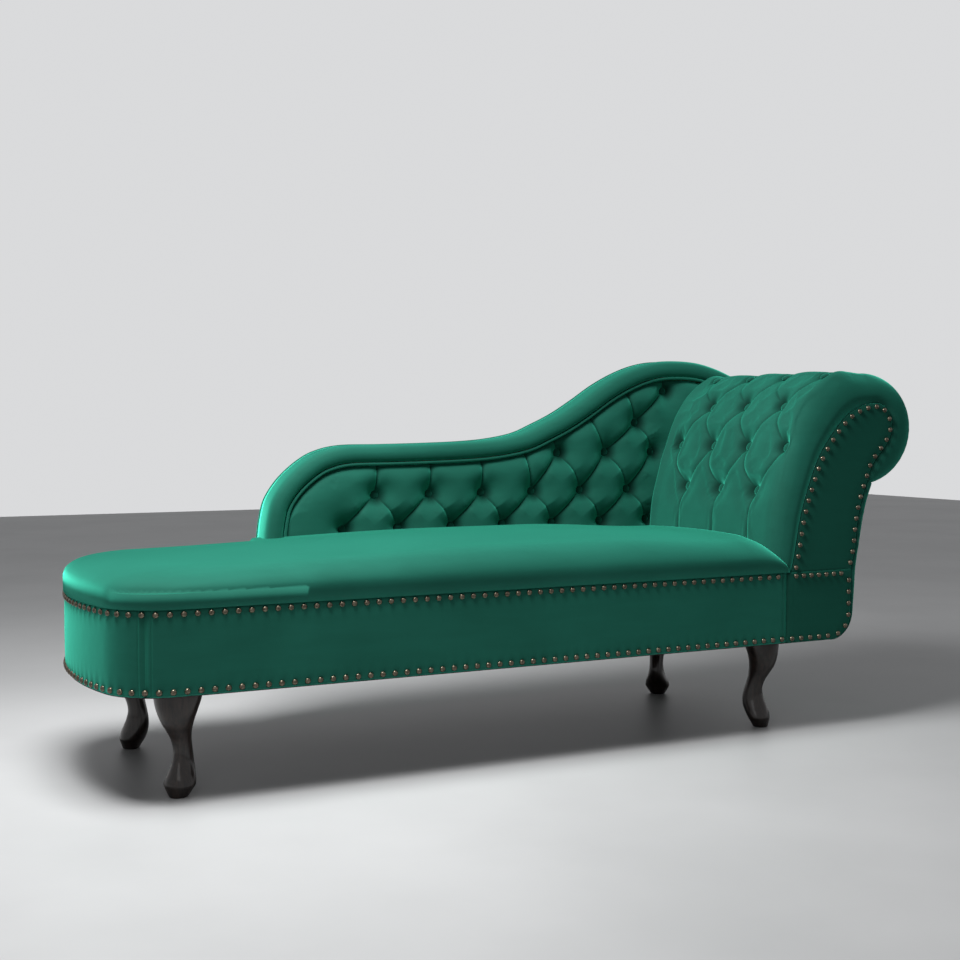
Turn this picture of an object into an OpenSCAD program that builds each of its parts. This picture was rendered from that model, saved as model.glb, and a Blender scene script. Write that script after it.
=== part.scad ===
// Fainting couch with one rolled, buttoned arm and a camel-shaped buttoned back.
// Drawn with x from the foot end to the arm, y from the front to the back and z up from the floor.

/* [Seat base] */
// Length of the seat from the foot seam to the arm
seat_len = 1283; // [1100:1:1500]
// Depth of the seat base from the front band to the rear band
base_d = 512; // [460:1:600]
// Height of the nailed band round the base
band_h = 142; // [125:1:170]
// Thickness of the covered card that makes the bands and facings
band_t = 5; // [3:0.5:8]
// How far the foot end bows out past the foot seam
foot_bow = 69; // [50:1:95]
// Radius of the bowed foot end
foot_bow_r = 650; // [480:1:1200]
// Radius of the two corners of the foot end
foot_corner_r = 110; // [85:1:130]

/* [Frame timber] */
// Thickness of the rails and of the arm boards
rail_t = 22; // [18:0.5:30]
// Height of the long rails
rail_h = 110; // [95:1:118]
// Height of the corner blocks that take the legs
block_h = 42; // [30:1:55]
// Length of a corner block along the couch
block_len = 115; // [90:1:130]
// Width of a corner block across the couch
block_w = 103; // [80:1:120]
// Height of the cross rails under the springs
cross_h = 70; // [40:1:90]
// Thickness of the curved lining sheets
lining_t = 4; // [3:0.5:6]

/* [Legs] */
// Height of the legs under the band
leg_h = 180; // [120:1:220]
// Width of a leg at its knee
leg_w = 86; // [60:1:100]
// Depth of a leg at its knee
leg_d = 72; // [55:1:85]
// Leg axis from the foot seam
leg_inset_x = 72; // [62:1:90]
// Leg axis from the front and the rear of the base
leg_inset_y = 67; // [60:1:85]
// Diameter of the hanger bolts and of the frame bolts
bolt_d = 8; // [6:1:10]

/* [Seat] */
// Height of the cushion above the band at its crown
cushion_h = 84; // [60:1:110]
// Height of the upright side of the cushion before it rolls over
cushion_side_h = 26; // [15:1:40]
// Width of the rolled edge of the cushion
cushion_roll = 72; // [40:1:110]
// Distance between neighbouring springs
spring_pitch = 132; // [110:1:180]
// Wire diameter of the springs
spring_wire = 3.6; // [3:0.2:4.4]

/* [Arm] */
// Width of the arm from the seat to the outside of the roll
arm_w = 327; // [280:1:380]
// Height of the arm above the band
arm_rise = 410; // [330:1:470]
// Radius of the roll
roll_r = 115; // [100:1:122]
// Thickness of the arm padding at its crest
arm_pad_t = 62; // [52:1:76]
// Depth of the buttoned tufts in the arm
arm_tuft = 22; // [14:1:28]
// Distance from the pad's ends to the outer buttons
arm_button_edge = 45; // [38:1:60]

/* [Back] */
// Height of the back above the band at its crest
back_rise = 441; // [380:1:500]
// Where the back panel starts, from the foot seam
back_start = 335; // [250:1:450]
// Thickness of the back padding at its crest
back_pad_t = 47; // [38:1:60]
// Depth of the buttoned tufts in the back
back_tuft = 24; // [14:1:28]
// Width of the plain border round the back
border_w = 36; // [28:1:46]
// Thickness of the rear cover
cover_t = 5; // [3:0.5:8]
// Diameter of the welt between border and padding
welt_d = 8; // [6:0.5:10]

/* [Trim] */
// Diameter of the covered buttons
button_d = 20; // [14:1:22]
// Height of the covered buttons
button_h = 6.5; // [4:0.5:9]
// Diameter of the domed nails
nail_d = 11; // [8:0.5:13]
// Height of the domed nails
nail_h = 4; // [2.5:0.5:5]
// Distance from nail to nail
nail_pitch = 22.5; // [18:0.5:30]
// Distance from a nail row to the edge it runs along
nail_inset = 8; // [7:0.5:10]

/* [Hidden] */

// Clearance between pieces that seat on each other
seat_gap = 0.3;
// Clearance between soft pieces that press on each other
soft_gap = 0.5;
// Clearance round a bolt
bolt_gap = 0.4;
// Overrun of every cut
cut = 2;

// Thickness of the dust cover
dust_t = 1.2;
// Inset of the dust cover from the band
dust_inset = 3;
z_band = leg_h + band_h;
z_rail = leg_h + rail_h;
y_in = band_t + rail_t;

// Springs, clips and ties on top of the rails
clip_t = 1.5;
clip_w = 16;
clip_l = 18;
tie_d = 2.4;
hessian_t = 2;
z_wire = z_rail + clip_t + seat_gap;
z_tie = z_wire + spring_wire + seat_gap;
z_hessian = z_tie + max(tie_d, clip_t) + seat_gap;
z_foam = z_hessian + hessian_t;

// Colours
velvet = "#1f7a5e";
velvet_dark = "#155845";
wood = "#c9a672";
board = "#a98656";
lacquer = "#1d1410";
steel = "#8d9094";
brass_old = "#8a7a55";
foam_yellow = "#e0d28a";
jute = "#a88f5f";
black_cloth = "#222222";

function mix(a, b, t) = a + (b - a) * t;
function clamp01(t) = max(0, min(1, t));
function ease(t) = let (c = clamp01(t)) c * c * (3 - 2 * c);
function unit(v) = v / norm(v);

// A smooth curve through the points p, with n steps from each point to the next.
function through(p, i, t) =
    let (a = p[max(0, i - 1)], b = p[i], c = p[i + 1], d = p[min(len(p) - 1, i + 2)])
    (2 * b + (c - a) * t + (2 * a - 5 * b + 4 * c - d) * t * t + (3 * b - a - 3 * c + d) * t * t * t) / 2;
function smooth(p, n) = [for (i = [0:len(p) - 2], k = [0:n - 1]) through(p, i, k / n), p[len(p) - 1]];

// Length of a path, and the point and direction at distance s along it.
function run(p, i = 0, sum = 0) = i >= len(p) - 1 ? sum : run(p, i + 1, sum + norm(p[i + 1] - p[i]));
function along(p, s, i = 0) =
    let (l = norm(p[i + 1] - p[i]))
    s <= l || i == len(p) - 2
        ? [p[i] + (p[i + 1] - p[i]) * s / l, unit(p[i + 1] - p[i])]
        : along(p, s - l, i + 1);

// Plan of the base at an inset e from its face: two corner arcs and a bow between them.
bow_x = foot_bow_r - foot_bow;
corner_x = bow_x - sqrt(pow(foot_bow_r - foot_corner_r, 2) - pow(base_d / 2 - foot_corner_r, 2));
corner_a = asin((base_d / 2 - foot_corner_r) / (foot_bow_r - foot_corner_r));
function foot_path(e, n = 8) = concat(
    [for (k = [0:n]) let (a = 90 + (90 - corner_a) * k / n)
        [corner_x + (foot_corner_r - e) * cos(a), foot_corner_r - (foot_corner_r - e) * sin(a)]],
    [for (k = [1:2 * n - 1]) let (a = corner_a - 2 * corner_a * k / (2 * n))
        [bow_x - (foot_bow_r - e) * cos(a), base_d / 2 - (foot_bow_r - e) * sin(a)]],
    [for (k = [n:-1:0]) let (a = 90 + (90 - corner_a) * k / n)
        [corner_x + (foot_corner_r - e) * cos(a), base_d - foot_corner_r + (foot_corner_r - e) * sin(a)]]
);
module base_shape(e, end_x) {
    polygon(concat(foot_path(e), [[end_x, base_d - e], [end_x, e]]));
}

// Where the band is seamed at the foot corners, on the corner arc
seam_x = foot_corner_r / 20;
// The arm side of the base: the pieces there follow the arm's own sizes
arm_x = seat_len;
side_x = arm_x + arm_w * 0.505;
lower_r = arm_w * 0.19;
arm_end_x = side_x - lower_r;
rail_end = arm_end_x;

// Arm, drawn as shares of arm_w along x from the seat and of arm_rise up from the band.
function arm_at(s) = [arm_x + s[0] * arm_w, z_band + s[1] * arm_rise];
// Inner line of the arm's timber core, from the seat to the top of the scroll
arm_inner_shares = [
    [0.032, 0], [0.057, 0.08], [0.078, 0.171], [0.101, 0.263], [0.134, 0.354], [0.174, 0.442], [0.211, 0.513],
    [0.263, 0.591], [0.341, 0.673], [0.436, 0.753], [0.515, 0.794], [0.591, 0.818], [0.661, 0.831]
];
// Outer line of the core, from the top of the scroll down to the band
arm_outer_shares = [
    [0.661, 0.831], [0.731, 0.827], [0.791, 0.796], [0.827, 0.743], [0.824, 0.679], [0.78, 0.616],
    [0.72, 0.567], [0.665, 0.509], [0.63, 0.437], [0.596, 0.366], [0.569, 0.29], [0.55, 0.2],
    [0.536, 0.1], [0.505, 0]
];
// Outside of the cover below the roll, from the notch under the roll down to the band
arm_side_shares = [
    [0.686, 0.413], [0.651, 0.344], [0.625, 0.27], [0.604, 0.193], [0.583, 0.11], [0.566, 0.03]
];
// The same below the band's top edge: x share of arm_w from the seat, z share of band_h from the legs
lower_shares = [[0.553, 0.72], [0.544, 0.5]];
arm_inner = smooth([for (s = arm_inner_shares) arm_at(s)], 3);
arm_outer = smooth([for (s = arm_outer_shares) arm_at(s)], 3);
roll_c = [arm_x + arm_w - roll_r, z_band + arm_rise - roll_r * 1.06];
low_x = arm_x + arm_w * 0.54;
low_c = [low_x - lower_r, leg_h + lower_r];
core_low_r = lower_r - (low_x - side_x);

function arc(c, r, a0, a1, n) = [for (k = [0:n]) let (a = a0 + (a1 - a0) * k / n) c + r * [cos(a), sin(a)]];

// Outer line of the whole couch end: round the roll, in at the notch and down to the bottom edge.
end_path = concat(
    arc(roll_c, roll_r, 72, -84, 14),
    smooth(concat(
        [for (s = arm_side_shares) arm_at(s)],
        [for (s = lower_shares) [arm_x + s[0] * arm_w, leg_h + s[1] * band_h]]
    ), 2),
    arc(low_c, lower_r, 0, -90, 6)
);

module upper_core() {
    polygon(concat(arm_inner, [for (k = [1:len(arm_outer) - 1]) arm_outer[k]]));
}
module lower_core() {
    polygon(concat(
        [[arm_x, leg_h], [arm_x, z_band], [side_x, z_band]],
        arc([side_x - core_low_r, leg_h + core_low_r], core_low_r, 0, -90, 6)
    ));
}
module couch_end() {
    polygon(concat([[arm_x, leg_h], arm_inner[0]], [roll_c], end_path));
}
// Stands a shape drawn in x and z upright, from y0 to y1.
module upright(y0, y1) {
    translate([0, y1, 0]) rotate([90, 0, 0]) linear_extrude(y1 - y0) children();
}

// Depths of the layers of the back, from the front
board_t = 3;
y_lining = base_d - board_t;
y_face = y_lining - back_pad_t;
y_frame = base_d + rail_t;
y_rear = y_frame + cover_t;
arm_front_y = nail_h / 4;
arm_rear_y = y_face - soft_gap;

// Back outline as shares of the length from its start to the end of the couch and of back_rise.
back_len = arm_x + arm_w - back_start;
// Bolts through the rear rail into the back
back_bolt_shares = [0.12, 0.45, 0.75];
back_bolt_x = [for (s = back_bolt_shares) back_start + s * back_len];
// Outline of the back from its foot end up and over to the roll
back_shares = [
    [0.001, 0], [0.004, 0.132], [0.008, 0.24], [0.016, 0.33], [0.04, 0.426], [0.074, 0.508],
    [0.107, 0.553], [0.153, 0.574], [0.223, 0.577], [0.294, 0.581], [0.365, 0.588], [0.42, 0.601],
    [0.471, 0.628], [0.51, 0.673], [0.551, 0.728], [0.592, 0.798], [0.632, 0.872], [0.671, 0.93],
    [0.71, 0.973], [0.749, 0.998], [0.792, 1.004], [0.835, 0.995], [0.875, 0.967], [0.91, 0.93]
];
function back_at(s) = [back_start + s[0] * back_len, z_band + s[1] * back_rise];
back_path = smooth(concat([for (s = back_shares) back_at(s)], [end_path[0]]), 2);
outline = concat([[back_start, leg_h]], back_path, [for (k = [1:len(end_path) - 1]) end_path[k]]);

// The line at n inside a path that runs clockwise.
function inside(p, n) = [for (i = [0:len(p) - 1])
    let (d = unit(p[min(len(p) - 1, i + 1)] - p[max(0, i - 1)])) p[i] + n * [d[1], -d[0]]];
function height_at(p, x, i = 0) =
    i >= len(p) - 2 || p[i + 1][0] >= x
        ? mix(p[i][1], p[i + 1][1], clamp01((x - p[i][0]) / (p[i + 1][0] - p[i][0])))
        : height_at(p, x, i + 1);

// Bumps between buttons: distance to the nearest button and to the nearest pleat.
function seg_d(q, a, b) =
    let (t = clamp01((q - a) * (b - a) / ((b - a) * (b - a))))
    norm(q - a - t * (b - a));
pit_r = button_d * 1.08;
pit_ramp = button_d * 1.75;
pleat_w = button_d * 1.5;
pleat_share = 0.5;
function plump(q, buttons, pleats) =
    let (db = min([for (b = buttons) norm(q - b)]), dp = min([for (s = pleats) seg_d(q, s[0], s[1])]))
    ease((db - pit_r) / pit_ramp)
        * (pleat_share + (1 - pleat_share) * sqrt(1 - pow(1 - min(dp / pleat_w, 1), 2)));
function rolled(d, r) = sqrt(1 - pow(1 - clamp01(d / r), 2));

// Closed solid from a grid of points g[i][j], over a base strip b[i] = [first, last] behind its long edges.
function flat(a) = [for (row = a) each row];
function grid_faces(ni, nj) = [for (i = [0:ni - 2], j = [0:nj - 2]) let (a = i * nj + j, c = a + nj)
    each [[a, a + 1, c], [a + 1, c + 1, c]]];
module padded(g, b) {
    ni = len(g);
    nj = len(g[0]);
    m = ni * nj;
    polyhedron(
        concat(flat(g), flat(b)),
        concat(
            grid_faces(ni, nj),
            [for (i = [0:ni - 2]) let (a = m + 2 * i) each [[a, a + 2, a + 1], [a + 1, a + 2, a + 3]]],
            [for (i = [0:ni - 2]) let (a = i * nj, c = m + 2 * i) each [[a, a + nj, c], [a + nj, c + 2, c]]],
            [for (i = [0:ni - 2]) let (a = i * nj + nj - 1, c = m + 2 * i + 1)
                each [[a, c, a + nj], [a + nj, c, c + 2]]],
            [concat([m, m + 1], [for (j = [nj - 1:-1:0]) j])],
            [concat([m + 2 * ni - 2], [for (j = [0:nj - 1]) (ni - 1) * nj + j], [m + 2 * ni - 1])]
        )
    );
}
// Closed solid between rings of points, capped at both ends.
module lofted(rings) {
    nr = len(rings);
    n = len(rings[0]);
    polyhedron(
        flat(rings),
        concat(
            [for (i = [0:nr - 2], j = [0:n - 1]) let (a = i * n + j, b = i * n + (j + 1) % n)
                each [[a, a + n, b], [b, a + n, b + n]]],
            [[for (j = [0:n - 1]) j]],
            [[for (j = [n - 1:-1:0]) (nr - 1) * n + j]]
        )
    );
}

x_mid = (arm_x + arm_w - foot_bow - nail_h) / 2;
y_mid = (y_rear - nail_h) / 2;
module place() {
    translate([-x_mid, -y_mid, 0]) children();
}

// Timber frame of the seat base

module front_rail() {
    color(wood) place() translate([corner_x, band_t, leg_h]) cube([arm_x - corner_x, rail_t, rail_h]);
}
module rear_rail() {
    color(wood) place() difference() {
        translate([corner_x, base_d - y_in, leg_h]) cube([rail_end - corner_x, rail_t, rail_h]);
        back_bolt_holes();
    }
}
module foot_rail() {
    color(wood) place() translate([0, 0, leg_h]) linear_extrude(rail_h) intersection() {
        difference() {
            base_shape(band_t, arm_x);
            base_shape(y_in, arm_x);
        }
        translate([-foot_bow, 0]) square([foot_bow + corner_x, base_d]);
    }
}
// Cross timbers under the springs, from rail to rail, each beside a bolt of the back
cross_beside = bolt_d * 4;
module cross_rails() {
    color(wood) place() for (k = [0, 1])
        translate([back_bolt_x[k] - cross_beside - rail_t / 2, y_in, leg_h])
            cube([rail_t, base_d - 2 * y_in, cross_h]);
}
leg_x = [leg_inset_x, seat_len - leg_inset_x * 0.16];
leg_y = [leg_inset_y, base_d - leg_inset_y];
leg_places = [for (i = [0, 1], j = [0, 1]) [leg_x[i], leg_y[j]]];
nut_flange = bolt_d * 2.75;
// Timber across the head end of the seat, on top of the corner blocks and clear of the nuts
head_x = leg_x[1] + nut_flange / 2 + seat_gap;
head_z = leg_h + block_h;
arm_board_y = arm_rear_y - rail_t;
module head_rail() {
    color(wood) place() difference() {
        translate([head_x, y_in, head_z]) cube([rail_t, arm_board_y - y_in, rail_h - block_h]);
        arm_bolt_holes();
    }
}
block_y = [y_in, base_d - y_in - block_w];
module corner_blocks() {
    color(wood) place() difference() {
        translate([0, 0, leg_h]) linear_extrude(block_h) intersection() {
            base_shape(y_in, arm_x + arm_w);
            for (x = leg_x, y = block_y) translate([x - block_len / 2, y]) square([block_len, block_w]);
        }
        for (p = leg_places) translate([p[0], p[1], leg_h - cut])
            cylinder(d = nut_d + 2 * bolt_gap, h = block_h + 2 * cut, $fn = 32);
    }
}

// Legs and what holds them

leg_top = leg_h - dust_t;
// Height, half width, offset of the centre and half depth, as shares of leg_top, leg_w, leg_d and leg_d
leg_shares = [
    [0, 0.18, 0, 0.205], [0.11, 0.315, -0.045, 0.305], [0.18, 0.29, -0.1, 0.335],
    [0.25, 0.232, -0.165, 0.332], [0.33, 0.187, -0.21, 0.3], [0.42, 0.175, -0.21, 0.257],
    [0.52, 0.19, -0.145, 0.25], [0.61, 0.235, -0.055, 0.288], [0.71, 0.32, 0.03, 0.355],
    [0.82, 0.412, 0.055, 0.41], [0.92, 0.475, 0.03, 0.46], [1, 0.49, 0.005, 0.495]
];
leg_sides = 20;
function bulge(c, k) = sign(c) * pow(abs(c), k);
// Powers that shape a leg's section: its front ridge, its back and its sides
ridge_power = 1.2;
back_power = 0.85;
side_power = 0.9;
function leg_ring(s) = [for (j = [0:leg_sides - 1])
    let (a = 360 * j / leg_sides, c = cos(a), k = c > 0 ? ridge_power : back_power)
    [leg_d * (s[2] + s[3] * bulge(c, k)), leg_w * s[1] * bulge(sin(a), side_power), leg_top * s[0]]];
module leg(i, j) {
    pilot = bolt_d * 4;
    color(lacquer) place() translate([leg_x[i], leg_y[j], 0]) difference() {
        rotate(45 * (i == 0 ? (j == 0 ? 5 : 3) : (j == 0 ? -1 : 1)))
            lofted([for (s = smooth(leg_shares, 2)) leg_ring(s)]);
        translate([0, 0, leg_top - pilot]) cylinder(d = bolt_d + 2 * bolt_gap, h = pilot + cut, $fn = 16);
    }
}
module leg_front_foot() { leg(0, 0); }
module leg_rear_foot() { leg(0, 1); }
module leg_front_head() { leg(1, 0); }
module leg_rear_head() { leg(1, 1); }

nut_d = bolt_d * 1.3;
nut_t = 1.5;
module hanger_bolts() {
    into_leg = bolt_d * 3.9;
    color(steel) place() for (p = leg_places) translate([p[0], p[1], leg_top - into_leg])
        cylinder(d = bolt_d, h = into_leg + dust_t + block_h + bolt_d / 2, $fn = 24);
}
module tee_nuts() {
    color(steel) place() for (p = leg_places) translate([p[0], p[1], head_z]) difference() {
        union() {
            cylinder(d = nut_flange, h = nut_t, $fn = 32);
            translate([0, 0, -block_h / 3]) cylinder(d = nut_d, h = block_h / 3 + nut_t / 2, $fn = 32);
        }
        translate([0, 0, -block_h]) cylinder(d = bolt_d + bolt_gap, h = 2 * block_h, $fn = 32);
    }
}
module dust_cover() {
    color(black_cloth) place() translate([0, 0, leg_top]) linear_extrude(dust_t) difference() {
        base_shape(dust_inset, low_c[0]);
        for (p = leg_places) translate(p) circle(d = bolt_d * 1.5, $fn = 32);
    }
}

// Springs, their clips and ties, and the cloth and foam over them

spring_first = corner_x + rail_t;
spring_n = floor((arm_x - rail_t * 2 - spring_first) / spring_pitch) + 1;
spring_rows = 24;
spring_y0 = band_t + rail_t / 2;
spring_step = (base_d - 2 * spring_y0) / spring_rows;
spring_half = spring_step * 0.75;
// Centre line of a spring: bars across it, joined by half turns on alternate sides
spring_line = flat([for (k = [0:spring_rows])
    let (side = k % 2 == 0 ? 1 : -1, y = spring_y0 + k * spring_step)
    concat(
        [[-side * spring_half, y], [side * spring_half, y]],
        k == spring_rows ? [] : [for (m = [1:4]) let (a = -90 + 36 * m)
            [side * (spring_half + spring_step / 2 * cos(a)), y + spring_step / 2 * (1 + sin(a))]]
    )]);
module spring() {
    left = inside(spring_line, -spring_wire / 2);
    right = inside(spring_line, spring_wire / 2);
    linear_extrude(spring_wire) polygon(concat(left, [for (k = [len(right) - 1:-1:0]) right[k]]));
}
module seat_springs() {
    color(steel) place() for (k = [0:spring_n - 1])
        translate([spring_first + k * spring_pitch, 0, z_wire]) spring();
}
// A bent clip that holds a spring's end bar down on the rail
module clip() {
    arm = spring_wire / 2 + seat_gap;
    translate([-clip_w / 2, 0, 0]) {
        translate([0, -clip_l / 2, 0]) cube([clip_w, clip_l, clip_t]);
        translate([0, -arm - clip_t, 0]) cube([clip_w, clip_t, clip_top]);
        translate([0, -arm - clip_t, clip_top - clip_t]) cube([clip_w, 2 * arm + clip_t, clip_t]);
    }
}
clip_top = z_tie - z_rail + clip_t;
module spring_clips() {
    color(steel) place() for (k = [0:spring_n - 1], end = [0, 1])
        translate([spring_first + k * spring_pitch, end == 0 ? spring_y0 : base_d - spring_y0, z_rail])
            rotate(180 * end) clip();
}
tie_y_shares = [0.3, 0.5, 0.7];
module spring_ties() {
    color(steel) place() for (s = tie_y_shares)
        translate([spring_first - 2 * spring_half, s * base_d, z_tie + tie_d / 2]) rotate([0, 90, 0])
            cylinder(d = tie_d, h = (spring_n - 1) * spring_pitch + 4 * spring_half, $fn = 16);
}
module seat_hessian() {
    color(jute) place() translate([0, 0, z_hessian]) linear_extrude(hessian_t)
        base_shape(band_t, arm_x - seat_gap);
}
module seat_foam() {
    color(foam_yellow) place() translate([0, 0, z_foam]) linear_extrude(z_band - z_foam)
        base_shape(band_t, arm_x - seat_gap);
}

// Seat cushion: upright sides, a rolled edge and a low crown

cushion_over = 3;
step_x = back_start + border_w * 1.45;
cushion_rows = 20;
function foot_x(y) = let (
        v = min(y, base_d - y), e = -cushion_over,
        turn = foot_corner_r - (foot_corner_r - e) * sin(corner_a)
    ) v < turn
        ? corner_x - sqrt(max(0, pow(foot_corner_r - e, 2) - pow(foot_corner_r - v, 2)))
        : bow_x - sqrt(pow(foot_bow_r - e, 2) - pow(v - base_d / 2, 2));
// Where the cushion stops against the arm: it follows the rounded front edge of the arm's padding
function pad_edge(y) = rolled(y, arm_button_edge);
function within_base(y) = max(-cushion_over, min(base_d + cushion_over, y));
function cushion_end(y) = arm_x - (arm_x - pad_x) * pad_edge(max(0, y)) - soft_gap;
pad_x = arm_x - arm_w * 0.098;
cushion_x_shares = [0.09, 0.15, 0.21, 0.27, 0.4, 0.5, 0.6, 0.7, 0.8, 0.88, 0.94];
cushion_x = concat(
    [for (s = cushion_x_shares) if (s * seat_len < back_start - border_w / 2) s * seat_len],
    [back_start - border_w / 4, back_start - soft_gap, step_x - border_w / 4, step_x - seat_gap],
    [for (s = cushion_x_shares) if (s * seat_len > step_x + border_w / 4) s * seat_len]
);
foot_cols = 8;
cushion_cols = foot_cols + len(cushion_x);
function cushion_rear(x) = x > step_x - border_w / 8 ? y_face - soft_gap
    : x > back_start - border_w / 8 ? base_d - soft_gap : base_d + cushion_over;
// Point of the cushion's plan in column i and row j, and its height there
function cushion_xy(i, j) = let (
        t = (1 - cos(180 * j / cushion_rows)) / 2,
        y_foot = mix(-cushion_over, base_d + cushion_over, t),
        x = i < foot_cols
            ? mix(foot_x(y_foot), corner_x + foot_corner_r / 4, 1 - cos(90 * i / foot_cols))
            : i < cushion_cols ? cushion_x[i - foot_cols] : cushion_end(mix(0, y_face, t)),
        y = mix(-cushion_over, cushion_rear(x), t)
    ) [x, y];
function cushion_top(p) = let (
        foot = foot_x(within_base(p[1])),
        side = z_band + cushion_side_h,
        sag = 0.24 * ease((p[0] - 0.72 * seat_len) / (0.25 * seat_len)),
        fall = 0.3 * (1 - ease(p[0] / (0.55 * seat_len))),
        crown = 0.86 + 0.14 * sin(180 * clamp01(p[1] / base_d)) - sag - fall,
        rear = p[0] > step_x - border_w / 8
            ? rolled(y_face - p[1] + cushion_roll / 8, cushion_roll / 6)
            : rolled(base_d + cushion_over - p[1], cushion_roll)
    ) side + (cushion_h - cushion_side_h) * crown * rear
        * rolled(p[1] + cushion_over, cushion_roll) * rolled(p[0] - foot, 1.6 * cushion_roll);
module seat_cushion() {
    n = cushion_rows;
    m = cushion_cols;
    top = [for (i = [0:m], j = [0:n]) let (p = cushion_xy(i, j)) [p[0], p[1], cushion_top(p)]];
    // Rim of the top, and the hem below it, which is drawn in a little all round
    rim = concat([for (i = [0:m]) i * (n + 1)], [for (j = [1:n]) m * (n + 1) + j],
        [for (i = [m - 1:-1:0]) i * (n + 1) + n], [for (j = [n - 1:-1:1]) j]);
    mid = [seat_len / 2, y_face / 2, 0];
    in = cushion_over / norm(mid);
    hem = [for (k = rim) [mix(top[k][0], mid[0], in), mix(top[k][1], mid[1], in), z_band]];
    c = len(top);
    l = len(rim);
    function front(i) = c + i;
    function rear(i) = c + 2 * m + n - i;
    color(velvet) place() polyhedron(concat(top, hem), concat(
        grid_faces(m + 1, n + 1),
        [for (k = [0:l - 1]) let (q = (k + 1) % l) each [[rim[k], rim[q], c + k], [rim[q], c + q, c + k]]],
        [for (i = [0:m - 1]) each [[front(i), front(i + 1), rear(i)], [front(i + 1), rear(i + 1), rear(i)]]],
        [[front(0), for (k = [c + 2 * m + n:c + l - 1]) k]],
        [[for (k = [c + m:c + m + n]) k]]
    ));
}

// Nailed bands round the base

module band_ring() {
    difference() {
        base_shape(0, rail_end);
        base_shape(band_t, rail_end + cut);
    }
}
module front_band() {
    color(velvet) place() translate([0, 0, leg_h]) linear_extrude(band_h) intersection() {
        band_ring();
        translate([seam_x, 0]) square([arm_x - seam_x, base_d / 2]);
    }
}
module foot_band() {
    color(velvet) place() translate([0, 0, leg_h]) linear_extrude(band_h) intersection() {
        band_ring();
        translate([seam_x - arm_w, 0]) square([arm_w, base_d]);
    }
}
module rear_band() {
    color(velvet) place() difference() {
        translate([0, 0, leg_h]) linear_extrude(band_h) intersection() {
            band_ring();
            translate([seam_x, base_d / 2]) square([rail_end - seam_x, base_d]);
        }
        back_bolt_holes();
    }
}
// A domed head is a cap of a sphere
nail_r = (pow(nail_h, 2) + pow(nail_d / 2, 2)) / (2 * nail_h);
module nail() {
    intersection() {
        translate([0, 0, nail_h - nail_r]) sphere(r = nail_r, $fn = 24);
        translate([-nail_d, -nail_d, 0]) cube(2 * [nail_d, nail_d, nail_h]);
    }
}
// Nails along a plan path at height z, heads outwards
module band_nails(path, z) {
    n = floor(run(path) / nail_pitch);
    for (k = [0:n - 1]) let (s = along(path, (k + 0.5) * run(path) / n))
        translate([s[0][0], s[0][1], z]) rotate([0, 0, atan2(s[1][1], s[1][0])]) rotate([-90, 0, 0]) nail();
}
function reversed(p) = [for (k = [len(p) - 1:-1:0]) p[k]];
nail_seat = seat_gap / 3;
nail_front = -nail_seat;
// Path of a nail row from x1 on the front, round the foot, to the foot end of the back
function nail_path(x1) = concat(
    [[x1, nail_front]], foot_path(-nail_seat), [[back_start - nail_d, base_d + nail_seat]]
);
module upper_nails() {
    color(brass_old) place() band_nails(nail_path(arm_x - nail_d), z_band - nail_inset);
}
module lower_nails() {
    color(brass_old) place() band_nails(nail_path(arm_end_x), leg_h + nail_inset + seat_gap);
}

// Arm: two boards, the sheets and rails between them, and the padding over them

module lining_shape() {
    polygon(concat(arm_inner, reversed(inside(arm_inner, lining_t))));
}
module board_shape() {
    difference() {
        union() {
            upper_core();
            lower_core();
        }
        lining_shape();
    }
}
module arm_front_board() {
    color(board) place() upright(band_t, y_in) board_shape();
}
module arm_rear_board() {
    color(board) place() upright(arm_board_y, arm_rear_y) difference() {
        board_shape();
        translate([arm_x - cut, leg_h - cut]) square([leg_x[1] + block_len / 2 - arm_x + cut, block_h + cut]);
    }
}
arm_bolt_y_shares = [0.28, 0.68];
arm_bolt_z = (head_z + z_rail) / 2;
module along_x(d, x, l, sides = 24) {
    for (s = arm_bolt_y_shares) translate([x, s * base_d, arm_bolt_z]) rotate([0, 90, 0])
        cylinder(d = d, h = l, $fn = sides);
}
module arm_bolt_holes() {
    along_x(bolt_d + 2 * bolt_gap, head_x - cut, 2 * rail_t + 2 * cut);
}
module arm_rails() {
    span = arm_board_y - y_in;
    mid = arm_at([0.3, 0.28]);
    color(wood) place() {
        difference() {
            translate([head_x + rail_t, y_in, head_z]) cube([rail_t, span, rail_h - block_h]);
            arm_bolt_holes();
        }
        translate([side_x - rail_t, y_in, leg_h + core_low_r]) cube([rail_t, span, rail_h / 2]);
        translate([mid[0], y_in, mid[1]]) cube([2 * rail_t, span, rail_t]);
    }
}
module arm_bolts() {
    head = bolt_d * 1.8;
    nut_h = bolt_d * 0.8;
    far = head_x + 2 * rail_t;
    color(steel) place() {
        along_x(head, head_x - nut_h, nut_h, 6);
        along_x(bolt_d, head_x - nut_h / 2, 2 * rail_t + 2 * nut_h);
        difference() {
            along_x(head, far, nut_h, 6);
            along_x(bolt_d + bolt_gap, far - cut, nut_h + 2 * cut);
        }
    }
}
module arm_lining() {
    color(board) place() upright(band_t, arm_rear_y) lining_shape();
}
core_c = arm_at([0.71, 0.709]);
core_r = arm_w * 0.105;
module arm_roll_core() {
    color(board) place() upright(y_in, arm_board_y) translate(core_c) difference() {
        circle(r = core_r, $fn = 64);
        circle(r = core_r - lining_t, $fn = 64);
    }
}

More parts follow.
